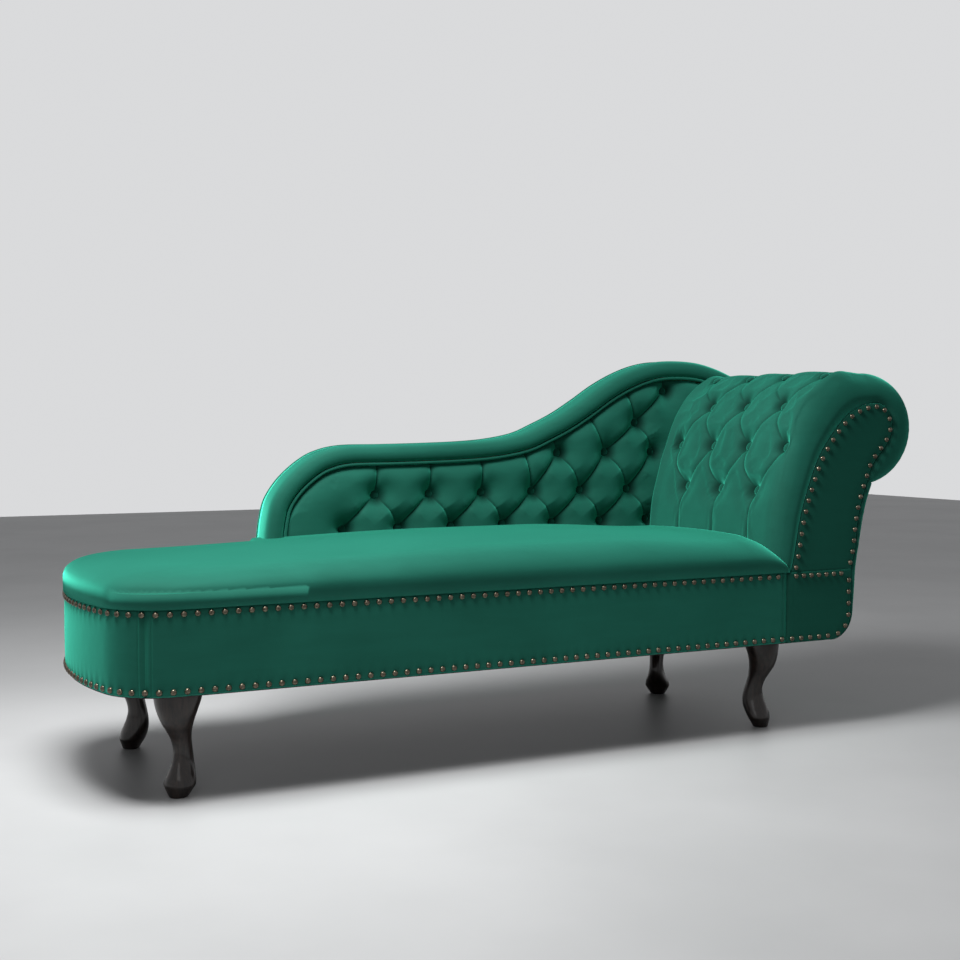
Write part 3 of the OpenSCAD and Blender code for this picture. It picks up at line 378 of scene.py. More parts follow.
# Bands round the base.
# Velvet over stiff card, wrapped tight round the rails and held by the nails along both
# edges; the front and rear lengths meet the foot length at a twin-stitched seam.
base_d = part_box("rear_band")[1].y - base_low.y
z_band = base_high.z
band_t = 0.005
foot_bow = 0.069
foot_bow_r = 0.65
foot_corner_r = 0.11
seam_x = foot_corner_r / 20
bow_x = foot_bow_r - foot_bow
corner_x = bow_x - math.sqrt((foot_bow_r - foot_corner_r)**2 - (base_d / 2 - foot_corner_r)**2)
corner_a = math.asin((base_d / 2 - foot_corner_r) / (foot_bow_r - foot_corner_r))
arm_x = seat_len
rail_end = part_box("rear_band")[1].x - origin[0]
band_h = z_band - leg_h
band_swell = 0.0012
band_turn = 0.003
band_turn_h = 0.004
band_end_w = 0.005
band_fine = 0.02
stitch_inset = 0.011
stitch_depth = 0.0009
stitch_w = 0.0013
nail_pitch = 0.0225
nail_inset = 0.008
lower_nail_lift = 0.0003
nail_hollow = 0.0011
nail_hollow_w = 0.006
nail_line_w = 0.007
nail_ripple = 0.0003
nail_ripple_w = 0.02
# Painted shade: the dark colour mixed into the velvet in creases and round buttons
pit_shade_colour = (0.003, 0.02, 0.014, 1)


def velvet_material(name, dark, body, light):
    """Short-pile velvet. Long nap streaks and broad clouds vary the colour, creases and the pits round
    buttons are painted darker as shade, fine noise gives the pile, and the sheen lightens it where it turns
    away."""
    mat, nodes, link, shader = graph(name)
    coord = nodes.new("ShaderNodeTexCoord").outputs["Object"]
    cloud = noise(nodes, link, coord, 3.2, 3, 0.4)
    streak = noise(nodes, link, stretched(nodes, link, (0.35, 1, 2.2)), 26, 4, 0.5)
    mixed = nodes.new("ShaderNodeMath")
    mixed.operation = "MULTIPLY_ADD"
    mixed.inputs[1].default_value = 0.35
    link(streak, mixed.inputs[0])
    link(cloud, mixed.inputs[2])
    colour = two_tone(nodes, link, mixed.outputs[0], body, light, 0.5, 0.9)
    # Painted shade: a point attribute from 0 to 1 mixes the dark colour in along creases and round buttons
    crease_shade = nodes.new("ShaderNodeAttribute")
    crease_shade.attribute_name = "crease_shade"
    shade = nodes.new("ShaderNodeMix")
    shade.data_type = "RGBA"
    link(crease_shade.outputs["Fac"], shade.inputs["Factor"])
    link(colour, shade.inputs["A"])
    shade.inputs["B"].default_value = dark
    link(shade.outputs["Result"], shader.inputs["Base Color"])
    shader.inputs["Roughness"].default_value = 0.75
    shader.inputs["Specular IOR Level"].default_value = 0.06
    shader.inputs["Sheen Weight"].default_value = 1
    shader.inputs["Sheen Roughness"].default_value = 0.48
    shader.inputs["Sheen Tint"].default_value = (0.1, 0.95, 0.66, 1)
    bump(nodes, link, shader, noise(nodes, link, coord, 1400, 2), 0.25, 0.0003)
    bump(nodes, link, shader, noise(nodes, link, coord, 55, 3), 0.2, 0.0012)
    return mat


velvet = velvet_material("green_velvet", pit_shade_colour, (0.01, 0.078, 0.055, 1), (0.014, 0.108, 0.077, 1))


def spaced(length, step):
    """Places along a length, about a step apart, with both ends."""
    return np.linspace(0, length, max(2, round(length / step) + 1))


def base_rim(step):
    """Plan of the base, from the arm along the front, round the foot and back along the rear: points on the
    face and outward normals. Two corner arcs and a flatter bow between them are tangent to each other."""
    def arc(centre, r, start, end):
        a = np.radians(start + (end - start) * spaced(1, step / (r * math.radians(abs(end - start)))))
        n = np.stack([np.cos(a), np.sin(a)], -1)
        return centre + r * n, n

    turn = math.degrees(corner_a)
    front = spaced(arm_x - corner_x, step)
    rear = spaced(rail_end - corner_x, step)
    parts = [
        (np.stack([arm_x - front, 0 * front], -1), np.tile([0., -1], (len(front), 1))),
        arc(np.array([corner_x, foot_corner_r]), foot_corner_r, 270, 180 + turn),
        arc(np.array([bow_x, base_d / 2]), foot_bow_r, 180 + turn, 180 - turn),
        arc(np.array([corner_x, base_d - foot_corner_r]), foot_corner_r, 180 - turn, 90),
        (np.stack([corner_x + rear, base_d + 0 * rear], -1), np.tile([0., 1], (len(rear), 1))),
    ]
    points = np.vstack([parts[0][0]] + [p[1:] for p, _ in parts[1:]])
    normals = np.vstack([parts[0][1]] + [n[1:] for _, n in parts[1:]])
    return points, normals


def lengths(points):
    """Distance of each point along a path."""
    return np.concatenate([[0], np.cumsum(np.linalg.norm(np.diff(points, axis=0), axis=1))])


def read_at(t, s, values):
    """Values that a path has at distances s, read at distances t."""
    return np.stack([np.interp(t, s, values[:, k]) for k in range(values.shape[1])], -1)


rim, rim_out = base_rim(0.003)
rim_s = lengths(rim)
s_front_seam = arm_x - seam_x
s_rear_seam = rim_s[-1] - (rail_end - seam_x)
upper_z = z_band - nail_inset
lower_z = leg_h + nail_inset + lower_nail_lift


def bump_at(d, width):
    """Bell of height 1: exp(-(d / width)^2)."""
    return np.exp(-(d / width)**2)


def nail_pull(s, z):
    """How far the nails pull the cover in: a hollow round each, and shallow ripples from nail to nail."""
    near = np.abs((s / nail_pitch) % 1 - 0.5) * nail_pitch
    rows = bump_at(z - upper_z, nail_line_w) + bump_at(z - lower_z, nail_line_w)
    wide = bump_at(z - upper_z, nail_ripple_w) + bump_at(z - lower_z, nail_ripple_w)
    hollow = nail_hollow * bump_at(near, nail_hollow_w) * rows
    return hollow + nail_ripple * wide * (1 + np.cos(2 * np.pi * s / nail_pitch + np.pi))


def band(name, start, end, node):
    """A length of band between two places along the rim. Its section is a thin strip with both long edges
    turned over; the face swells as a sine between its edges, is drawn in at its two ends and has a stitched
    groove near each end."""
    near = np.arange(0, band_fine, 0.0008)
    middle = rim_s[(rim_s > start + band_fine) & (rim_s < end - band_fine)]
    s = np.unique(np.concatenate([start + near, middle, end - near]))
    p, n = (read_at(s, rim_s, values) for values in (rim, rim_out))
    s = s[:, None]
    z = leg_h + band_h * (1 - np.cos(np.linspace(0, np.pi, 40))) / 2
    swell = band_swell * np.sin(np.pi * (z - leg_h) / band_h)**0.7
    from_edges = np.clip((z - leg_h) / band_turn_h, 0, 1), np.clip((z_band - z) / band_turn_h, 0, 1)
    edge = band_turn * ((1 - from_edges[0])**2 + (1 - from_edges[1])**2)
    ends = band_turn * (bump_at(s - start, band_end_w) + bump_at(end - s, band_end_w))
    from_stitch = s - start - stitch_inset, end - stitch_inset - s
    stitch = stitch_depth * (bump_at(from_stitch[0], stitch_w) + bump_at(from_stitch[1], stitch_w))
    out = swell - edge - ends - stitch - nail_pull(s, z)
    face = p[:, None, :] + out[..., None] * n[:, None, :]
    front = np.concatenate([face, np.broadcast_to(z, face.shape[:2])[..., None]], -1)
    inner = p - band_t * n
    back = np.stack([np.column_stack([inner, np.full(len(p), level)]) for level in (z_band, leg_h)], 1)
    rings = np.concatenate([front, back], 1)
    obj = piece(name, rings, tube_faces(*rings.shape[:2]), velvet)
    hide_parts(node)


band("front_band_cover", 0, s_front_seam, "front_band")
band("foot_band_cover", s_front_seam, s_rear_seam, "foot_band")
band("rear_band_cover", s_rear_seam, rim_s[-1], "rear_band")

# Seat cushion.
# Foam under one tight velvet cover: upright sides, a rolled edge and a low crown, let in
# under the padding of the arm and of the back and tacked down behind the nailed band.
cushion_over = 0.003
cushion_h = 0.084
cushion_side_h = 0.026
cushion_roll = 0.072
foot_roll = 1.5 * cushion_roll
# How much wider the front's roll is at the foot
front_roll_share = 0.55
# The crown: at its edges, what the arch adds, and what it lacks by the arm and at the foot
crown_edge_share = 0.86
crown_arch_share = 0.14
arm_low_share = 0.24
foot_low_share = 0.3
cushion_lap = 0.004
cushion_gap = 0.0005
arm_dip_w = 0.09
arm_dip_d = 0.14
# Where the rear edge steps forward for the back: how far ahead of the step it starts, and over what length
cut_lead = 0.006
cut_run = 0.01
# The foot's slant is read with this step, and no nearer to the front and the rear than the second value
slant_step = 0.0005
slant_end = 0.018
# How tightly the roll at the front and the one at the foot join at the corner
edge_join = 4
back_start = 0.335
border_w = 0.036
step_x = back_start + border_w * 1.45
roll_high = np.array(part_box("arm_roll_pad")[1]) - origin
arm_w = roll_high[0] - arm_x
pad_x = arm_x - arm_w * 0.098
arm_button_edge = 0.045
y_face = 0.462


def ease(t):
    """Smooth step: 3 t^2 - 2 t^3 between 0 and 1."""
    t = np.clip(t, 0, 1)
    return t * t * (3 - 2 * t)


def rolled(d, r):
    """Quarter circle of radius r: height at distance d from its edge, as a share of r."""
    return np.sqrt(1 - (1 - np.clip(d / r, 0, 1))**2)


def foot_edge(y):
    """x of the cushion's edge at the foot end: the corner arcs and the bow, grown by cushion_over."""
    v = np.minimum(y, base_d - y)
    corner = foot_corner_r + cushion_over
    bow = foot_bow_r + cushion_over
    at_corner = corner_x - np.sqrt(np.maximum(0, corner**2 - (foot_corner_r - v)**2))
    at_bow = bow_x - np.sqrt(bow**2 - (v - base_d / 2)**2)
    return np.where(v < foot_corner_r - corner * math.sin(corner_a), at_corner, at_bow)


def cushion_plan(cols, rows):
    """Plan of the cushion: row j goes from front to rear, closer together at both edges, and column i from
    the foot's bow to the arm, where the edge follows the rounded front of the arm's padding. Its rear edge
    steps forward at the border and again at the back's padding."""
    t = ((1 - np.cos(np.linspace(0, np.pi, rows))) / 2)[None, :]
    u = np.linspace(0, 1, cols)[:, None]
    edge_foot = foot_edge(-cushion_over + t * (base_d + 2 * cushion_over))
    edge_arm = arm_x - (arm_x - pad_x) * rolled(t * y_face, arm_button_edge) + cushion_lap
    x = edge_foot + (edge_arm - edge_foot) * (u + 0.25 * u * (1 - u) * (u - 0.6))
    wide = 1 - ease((x - back_start + cut_lead) / cut_run)
    narrow = 1 - ease((x - step_x + cut_lead) / cut_run)
    rear = y_face - cushion_gap + (base_d - y_face) * narrow + (cushion_over + cushion_gap) * wide
    return x, -cushion_over + t * (rear + cushion_over), rear


def cushion_top(x, y, rear):
    """Height of the cushion: its side plus a crown that arches over the depth and is lower by the arm and at
    the foot, rolled off at the front, foot and rear and turned down where its front meets the arm. The
    distances from the front and from the foot, as shares of their rolls, are joined as
    -log(sum of exp(-k * d)) / k."""
    arch = crown_edge_share + crown_arch_share * np.sin(np.pi * np.clip(y / base_d, 0, 1))
    by_arm = arm_low_share * ease((x / seat_len - 0.72) / 0.25)
    crown = arch - by_arm - foot_low_share * (1 - ease(x / (0.55 * seat_len)))
    free = rolled(base_d + cushion_over - y, cushion_roll)
    tucked = rolled(rear - y + cushion_roll / 8, cushion_roll / 6)
    behind = free + (tucked - free) * ease((x - back_start + 0.02) / 0.02)
    foot = foot_edge(np.clip(y, -cushion_over, base_d + cushion_over))
    along = np.clip(y, slant_end, base_d - slant_end)
    slant = np.hypot(1, (foot_edge(along + slant_step) - foot_edge(along - slant_step)) / (2 * slant_step))
    front_roll = cushion_roll * (1 + front_roll_share - front_roll_share * ease((x + 0.06) / 0.4))
    from_front = (y + cushion_over) / front_roll
    from_foot = (x - foot) / slant / foot_roll
    near = np.exp(-edge_join * from_front) + np.exp(-edge_join * from_foot)
    edge = rolled(-np.log(near) / edge_join, 1)
    dip = (1 - rolled(arm_x + 0.006 - x, arm_dip_w)) * (1 - ease(y / arm_dip_d))
    rise = (cushion_h - cushion_side_h) * crown * behind * edge
    return z_band + (1 - 0.9 * dip) * (cushion_side_h + rise)


def block(top, bottom):
    """Faces and points of a closed solid between two grids of the same size."""
    rows, cols = top.shape[:2]
    n = rows * cols
    rim_of = np.concatenate([np.arange(cols), np.arange(2, rows + 1) * cols - 1,
                             np.arange(n - 2, n - cols - 1, -1), np.arange(rows - 2, 0, -1) * cols])
    nxt = np.roll(rim_of, -1)
    sides = np.stack([rim_of, rim_of + n, nxt + n, nxt], -1).tolist()
    faces = grid_faces(rows, cols) + [[k + n for k in f[::-1]] for f in grid_faces(rows, cols)] + sides
    return np.concatenate([top.reshape(-1, 3), bottom.reshape(-1, 3)]), faces


def swollen(grid, held, pressure, cap):
    """Cloth simulation of a skin given as a grid of points. Points whose held value is 1 are pinned, pressure
    swells the rest for 20 frames without gravity, and the movement m of a point is limited to
    cap * tanh(|m| / cap). Gives the movement of every point."""
    mesh = bpy.data.meshes.new("skin")
    mesh.from_pydata(grid.reshape(-1, 3).tolist(), [], grid_faces(*grid.shape[:2]))
    skin = bpy.data.objects.new("skin", mesh)
    bpy.context.scene.collection.objects.link(skin)
    pins = skin.vertex_groups.new(name="held")
    pins.add(np.flatnonzero(held.ravel() > 0.5).tolist(), 1, "REPLACE")
    cloth = skin.modifiers.new("cloth", "CLOTH")
    cloth.settings.quality = 6
    cloth.settings.mass = 0.3
    cloth.settings.tension_stiffness = cloth.settings.compression_stiffness = 12
    cloth.settings.shear_stiffness = 6
    cloth.settings.bending_stiffness = 0.4
    cloth.settings.vertex_group_mass = "held"
    cloth.settings.use_pressure = True
    cloth.settings.uniform_pressure_force = pressure
    cloth.settings.effector_weights.gravity = 0
    cloth.collision_settings.use_collision = False
    for step in range(1, 21):
        bpy.context.scene.frame_set(step)
    done = skin.evaluated_get(bpy.context.evaluated_depsgraph_get()).to_mesh()
    place = np.empty(len(done.vertices) * 3)
    done.vertices.foreach_get("co", place)
    bpy.context.scene.frame_set(1)
    bpy.data.objects.remove(skin)
    bpy.data.meshes.remove(mesh)
    move = place.reshape(grid.shape) - grid
    size = np.maximum(1e-9, np.linalg.norm(move, axis=-1, keepdims=True))
    return move * cap * np.tanh(size / cap) / size


def resampled(values, count):
    """Cubic (Catmull-Rom) resampling of a grid's first axis to count evenly spaced places."""
    n = len(values)
    t = np.linspace(0, n - 1, count)
    i = np.minimum(t.astype(int), n - 2)
    f = (t - i)[:, None, None]
    a, b, c, d = (values[np.clip(i + k, 0, n - 1)] for k in (-1, 0, 1, 2))
    return b + f * ((c - a) + f * ((2 * a - 5 * b + 4 * c - d) + f * (3 * b - a - 3 * c + d))) / 2


swell_fade = 12


def swell_to(coarse, held, shape, pressure, cap, passes=0):
    """Movement of a coarse grid under pressure, faded out over a few rows beside its edges, smoothed by a
    number of 1-2-1 passes and carried over to a finer grid of the given shape."""
    inner = [np.minimum(np.arange(n), n - 1 - np.arange(n)) / swell_fade for n in coarse.shape[:2]]
    move = swollen(coarse, held, pressure, cap) * (ease(inner[0])[:, None] * ease(inner[1]))[..., None]
    for axis in (0, 1) * passes:
        move = (np.roll(move, 1, axis) + 2 * move + np.roll(move, -1, axis)) / 4
    move = resampled(move, shape[0])
    return resampled(move.swapaxes(0, 1), shape[1]).swapaxes(0, 1)


def cushion_skin(cols, rows):
    """Upper surface of the cushion as a grid."""
    x, y, rear = cushion_plan(cols, rows)
    return np.stack([x, y, cushion_top(x, y, rear)], -1)


def rim_held(shape):
    """Held values of a grid that is pinned along its four edges."""
    held = np.zeros(shape)
    held[[0, -1], :] = held[:, [0, -1]] = 1
    return held


cushion_upper = cushion_skin(340, 90)
coarse = cushion_skin(170, 60)
cushion_upper += swell_to(coarse, rim_held(coarse.shape[:2]), cushion_upper.shape[:2], 4, 0.003, 12)
cushion_lower = np.concatenate([cushion_upper[..., :2], np.full_like(cushion_upper[..., :1], z_band)], -1)
cushion = piece("seat_cushion_cover", *block(cushion_upper, cushion_lower), velvet)
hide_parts("seat_cushion")

# Arm cover.
# Velvet over thick padding on the arm's curved front, drawn down by fourteen buttons with a
# pleat folded along each line between them, and carried on over the roll to its underside.
roll_r = 0.115
roll_wide = 1.12
roll_end = 84
arm_pad_t = 0.062
arm_pad_growth = 0.41
depth_blend = 0.012
depth_more = 0.002
crest_share = 0.06
arm_rise = roll_high[2] - z_band + crest_share * roll_r
roll_c = np.array([arm_x + arm_w - roll_r, z_band + arm_rise - (1 + crest_share) * roll_r])
arm_rear = 0.4615
arm_tuft = 0.028
edge_gap = 0.001
button_d = 0.02
curve_steps = 12
# A button's pit: radius of its floor and width of its slope on the arm. Then the width of a pleat and the
# share of the fullness that it keeps, and the widths over which creases and pits are painted darker as shade
pit_floor = 0.007
arm_pit_r = 0.056
pleat_w = 0.02
pleat_share = 0.66
crease_w = 0.0025
shade_start = 0.008
shade_w = 0.02
# The cloth is held this near to a pleat and to a button's centre
held_pleat_w = 0.003
held_button_r = 0.014
pleat_bow = 0.09
crest_blend = 0.02
# The arm's front edge: power of its round, and how much less deep it is over the crest
edge_power = 2.3
crest_edge_less = 0.009
# Small gathers where the cover is drawn round the end of the roll
gather_depth = 0.006
gather_pitch = 0.019
gather_sway = 1.6
gather_sway_run = 0.02
gather_y = 0.012
gather_w = 0.008
# Edge of the arm's timber core, as shares of arm_w from the seat and of arm_rise up from the band:
# up the inside to the top of the scroll, then round it and down the outside to the band
ARM_INNER_SHARES = [
    [0.032, 0], [0.057, 0.08], [0.078, 0.171], [0.101, 0.263], [0.134, 0.354], [0.174, 0.442],
    [0.211, 0.513], [0.263, 0.591], [0.341, 0.673], [0.436, 0.753], [0.515, 0.794], [0.591, 0.818],
    [0.661, 0.831],
]
ARM_OUTER_SHARES = [
    [0.661, 0.831], [0.731, 0.827], [0.791, 0.796], [0.827, 0.743], [0.824, 0.679], [0.78, 0.616],
    [0.72, 0.567], [0.665, 0.509], [0.63, 0.437], [0.596, 0.366], [0.569, 0.29], [0.55, 0.2], [0.536, 0.1],
    [0.505, 0],
]
# Outside of the cover under the roll, from the notch down to the band
ARM_SIDE_SHARES = [
    [0.686, 0.413], [0.651, 0.344], [0.625, 0.27], [0.604, 0.193], [0.583, 0.11], [0.566, 0.03],
]
# The same below the band's top edge, with z as shares of the band's height from the legs
ARM_LOWER_SHARES = [[0.553, 0.72], [0.544, 0.5]]
NOTCH_INDEX = 8


def arm_at(shares):
    """Points in x and z from shares of the arm's width and rise."""
    return np.array([arm_x, z_band]) + np.asarray(shares) * [arm_w, arm_rise]


def even(points, count):
    """The same path with evenly spaced points."""
    s = lengths(points)
    return read_at(np.linspace(0, s[-1], count), s, points)


def upright(points, y):
    """Points in space from points in x and z and their depths y."""
    return np.stack([points[..., 0], np.broadcast_to(y, points.shape[:-1]), points[..., 1]], -1)


def path_normals(points):
    """Left-hand unit normals of a path in a plane."""
    d = np.gradient(points, axis=0)
    d /= np.linalg.norm(d, axis=1)[:, None]
    return np.stack([-d[:, 1], d[:, 0]], -1)


def to_segment(u, v, a, b, bow):
    """Distance of points (u, v) from a pleat that runs from a to b and bows out by a share of its length."""
    a, b = np.asarray(a), np.asarray(b)
    d = b - a
    length = math.hypot(*d)
    t = np.clip(((u - a[0]) * d[0] + (v - a[1]) * d[1]) / length**2, 0, 1)
    away = bow * length * np.sin(np.pi * t)
    du = u - a[0] - t * d[0] + away * d[1] / length
    dv = v - a[1] - t * d[1] - away * d[0] / length
    return np.hypot(du, dv)


def tufting(u, v, spots, pleats, pit_r):
    """Fullness of buttoned padding, 0 in a button's pit and 1 on a full diamond, with a painted shade from 0
    to 1 that is darkest along the pleats' creases and round the buttons, and whether a point is held there.
    Fullness is a quarter ellipse out of the nearest pit times another over the nearest pleat."""
    near_button = np.min([np.hypot(u - a, v - b) for a, b in spots], axis=0)
    near_pleat = np.min([to_segment(u, v, *pleat) for pleat in pleats], axis=0)
    out_of_pit = rolled(near_button - pit_floor, pit_r)**1.2
    full = out_of_pit * (pleat_share + (1 - pleat_share) * rolled(near_pleat, pleat_w))
    # Painted shade: dark along each crease and round each button, where the velvet is darkened
    crease_shade = np.maximum(0.7 * bump_at(near_pleat, crease_w), 1 - ease((near_button - shade_start) / shade_w))
    return full, crease_shade, (near_pleat < held_pleat_w) | (near_button < held_button_r)


def full_round(y, reach, power):
    """Rounded edge: superellipse that rises from 0 at y = 0 to 1 at y = reach."""
    return (1 - (1 - np.clip(y / reach, 0, 1))**power)**(1 / power)


inner_line = even(smooth(arm_at(ARM_INNER_SHARES), curve_steps), 240)
inner_s = lengths(inner_line)
pad_run = inner_s[-1]
outer_line = smooth(arm_at(ARM_OUTER_SHARES), curve_steps)
ARM_ROW_SHARES = [0.358, 0.561, 0.747, 0.877]
arm_pitch = (arm_rear - 2 * arm_button_edge) / 3
arm_spots = [(share * pad_run, arm_button_edge + (k + (r + 1) % 2 / 2) * arm_pitch)
             for r, share in enumerate(ARM_ROW_SHARES) for k in range(4 - (r + 1) % 2)]
roll_run = roll_r * math.radians(90 + roll_end)


def roll_at(turn):
    """Point on the outside of the roll, a little wider than it is high."""
    return roll_c + roll_r * np.stack([roll_wide * np.cos(turn), np.sin(turn)], -1)


def tuft_at(share):
    """Depth of the buttons below the full padding, less over the crest."""
    return arm_tuft * (1 - 0.6 * ease((share - 0.7) / 0.2))


def arm_pleats():
    """Pleats from each button to its neighbours in the next row, down to the seat and over the roll."""
    reach = 1.05 * math.hypot(arm_pitch / 2, 0.2 * pad_run)
    rows = [[b for b in arm_spots if abs(b[0] - share * pad_run) < 1e-6] for share in ARM_ROW_SHARES]
    pleats = []
    for low, high in zip(rows, rows[1:]):
        for a in low:
            for b in high:
                if math.hypot(a[0] - b[0], a[1] - b[1]) < reach:
                    pleats.append((a, b, pleat_bow if b[1] > a[1] else -pleat_bow))
    pleats += [(a, (0, a[1] - 0.012), 0) for a in rows[0]]
    pleats += [(a, (pad_run + roll_run * 0.3, a[1]), 0) for a in rows[-1]]
    return pleats


def arm_depth(share, core_x, out_x):
    """Thickness of the arm's padding: what the seat leaves low down, fuller towards the top and down to the
    roll's own radius at its crest, with a rounded change from one to the other."""
    face = (core_x - pad_x) / np.maximum(0.2, np.abs(out_x))
    full = arm_pad_t * (1 + arm_pad_growth * ease((share - 0.35) / 0.5))
    crest = full + (roll_c[1] + roll_r - inner_line[-1, 1] - full) * ease((share - 0.88) / 0.12)
    return (face + crest - np.sqrt((face - crest)**2 + depth_blend**2)) / 2 + depth_more


def behind_sleeve(line, cols):
    """Inner side of a cover on the arm: a line in x and z, carried from the back panel to the front."""
    return upright(np.repeat(line[:, None, :], cols, 1), np.linspace(arm_rear, edge_gap, cols))


def arm_surface(rows, cols):
    """The arm's cover as a grid. Row i stands at a place along the arm's core edge and then round the roll;
    each row runs from the core edge in front, over a rounded edge, back to the back panel."""
    s = np.linspace(0, pad_run + roll_run, rows)
    on_pad = np.minimum(s, pad_run)
    core = read_at(on_pad, inner_s, inner_line)
    normal = path_normals(inner_line)
    level = ease(inner_s / pad_run * 8)[:, None]
    normal = np.array([-1, 0]) * (1 - level) + normal * level
    normal /= np.linalg.norm(normal, axis=1)[:, None]
    out = read_at(on_pad, inner_s, normal)
    skin = core + arm_depth(on_pad / pad_run, core[:, 0], out[:, 0])[:, None] * out
    turn = np.radians(90) - np.maximum(0, s - pad_run) / roll_r
    notch = even(outer_line[:NOTCH_INDEX * curve_steps + 1], 200)
    along = np.maximum(0, s - pad_run) / roll_run
    round_core = read_at(along, np.linspace(0, 1, 200), notch)
    past = ease((s - pad_run + crest_blend) / crest_blend)[:, None]
    skin = skin * (1 - past) + roll_at(turn) * past
    on_roll = (s > pad_run)[:, None]
    core = np.where(on_roll, round_core, core)
    out = np.where(on_roll, np.stack([np.cos(turn), np.sin(turn)], -1), out)
    fine = np.linspace(0, 1, cols)
    y = edge_gap + (arm_rear - edge_gap) * (fine - 0.09 * np.sin(2 * np.pi * fine))
    full, crease_shade, held = tufting(s[:, None], y[None, :], arm_spots, arm_pleats(), arm_pit_r)
    fade = 1 - ease((s - pad_run - 0.01) / (roll_run * 0.28))
    tuft = (1 - full) * (tuft_at(on_pad / pad_run) * fade)[:, None]
    tuft *= ease(y / arm_button_edge)[None, :] * ease((s - 0.01) / 0.05)[:, None]
    reach = (arm_button_edge - crest_edge_less * ease((s / pad_run - 0.7) / 0.3))[:, None]
    bulge = full_round(y, reach, edge_power) * rolled(arm_rear - y + arm_button_edge / 4, arm_button_edge / 2)
    sway = gather_sway * np.sin(s / gather_sway_run)
    gather = gather_depth * np.sin(2 * np.pi * s / gather_pitch + sway) * ease((s - pad_run - 0.1) / 0.1)
    bulge = bulge - gather[:, None] * bump_at(y - gather_y, gather_w)[None, :]
    point = core[:, None, :] + (skin - core)[:, None, :] * bulge[..., None]
    point = point - (tuft * bulge)[..., None] * out[:, None, :]
    back = behind_sleeve(core + edge_gap * out, 8)
    # The painted shade in creases and pits fades out over the roll and towards the front edge
    crease_shade = crease_shade * fade[:, None] * ease(y / arm_button_edge)[None, :]
    held = held | (s > pad_run + 0.04)[:, None] | (y < 0.006) | (rim_held(held.shape) > 0.5)
    return upright(point, y), back, np.concatenate([crease_shade, np.zeros(back.shape[:2])], 1), held


def sleeve(name, front, back, mat, crease_shade=None):
    """A closed padded piece: a fine front grid and a coarse back, joined row by row into rings."""
    rings = np.concatenate([front, back], 1)
    return piece(name, rings, tube_faces(*rings.shape[:2]), mat, crease_shade)


front, back, crease_shade, _ = arm_surface(330, 220)
coarse, _, _, held = arm_surface(130, 84)
front += swell_to(coarse, held, front.shape[:2], 4, 0.004)
arm_cover = sleeve("arm_cover", front, back, velvet, crease_shade)
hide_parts("arm_pad", "arm_roll_pad")

# Outside of the arm.
# Velvet over thin wadding, tacked under the roll, taken down the outside and turned under
# the frame; in front it ends at the nailed edge of the facings.
side_x = arm_x + arm_w * 0.505
lower_r = arm_w * 0.19
low_x = arm_x + arm_w * 0.54
core_low_r = lower_r - (low_x - side_x)


def arc(centre, r, start, end, count):
    """Points on an arc, angles in degrees."""
    a = np.radians(np.linspace(start, end, count))
    return np.asarray(centre) + r * np.stack([np.cos(a), np.sin(a)], -1)


lower_points = np.array([arm_x, leg_h]) + np.array(ARM_LOWER_SHARES) * [arm_w, band_h]
side_line = np.vstack([
    roll_at(np.radians([-roll_end])),
    smooth(np.vstack([arm_at(ARM_SIDE_SHARES), lower_points]), 10),
    arc((low_x - lower_r, leg_h + lower_r), lower_r, 0, -90, 24),
])
core_side = np.vstack([
    outer_line[NOTCH_INDEX * curve_steps:],
    arc((side_x - core_low_r, leg_h + core_low_r), core_low_r, 0, -90, 24),
])
side_edge = 0.014
side_gap = 0.0015


def side_surface(rows, cols):
    """Rows go down the outside of the arm; each runs from the facing's edge in front, over a small round
    edge, back to the back panel."""
    skin, core = even(side_line, rows), even(core_side, rows)
    y = edge_gap + (arm_rear - edge_gap) * np.linspace(0, 1, cols)**1.5
    under = core + side_gap * path_normals(core)
    point = under[:, None, :] + (skin - under)[:, None, :] * rolled(y, side_edge)[None, :, None]
    return upright(point, y), behind_sleeve(under, 4)


arm_side = sleeve("arm_side_cover", *side_surface(160, 50), velvet)
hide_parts("arm_outer_panel")

# Facings.
# Velvet over card on the front of the arm: one scroll-shaped facing above the band and one
# below it that carries the line of the band on, both nailed round their edges.
# A darker copy of the same velvet: painted shade on the arm's front, which faces away from the lamps
shaded_facing_velvet = velvet_material(
    "shaded_facing_velvet", pit_shade_colour, (0.005, 0.036, 0.025, 1), (0.007, 0.05, 0.035, 1))
facing_swell_w = 0.03
facing_turn = 0.0025
facing_turn_w = 0.003
facing_seam_w = 0.007


def facing(name, left, right, node, padding=0.0015, at_seam=0.0):
    """A facing between its left and right edges, which run from the bottom to the top. The front swells by
    the padding, more by at_seam beside its left edge, and is turned back along both edges; it is closed
    behind."""
    cols = 40
    u = ((1 - np.cos(np.linspace(0, np.pi, cols))) / 2)[None, :, None]
    flat = left[:, None, :] * (1 - u) + right[:, None, :] * u
    width = np.linalg.norm(right - left, axis=1)[:, None] * np.minimum(u, 1 - u)[..., 0]
    y = -padding * ease(width / facing_swell_w) + facing_turn * (1 - np.clip(width / facing_turn_w, 0, 1))**2
    y = y - at_seam * bump_at((flat[..., 0] - left[:, None, 0]) - facing_seam_w, facing_seam_w)
    obj = sleeve(name, upright(flat, y), upright(np.stack([right, left], 1), band_t), shaded_facing_velvet)
    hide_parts(node)


scroll_left, scroll_right = (even(line, 140)[:-1] for line in (inner_line, outer_line[::-1]))
facing("scroll_facing", scroll_left, scroll_right, "arm_facing")
low_right = even(core_side[len(outer_line) - NOTCH_INDEX * curve_steps - 1:][::-1], 50)
low_left = np.stack([np.full(len(low_right), arm_x), low_right[:, 1]], -1)
facing("lower_facing", low_left, low_right, "arm_lower_facing", 0.002, 0.002)

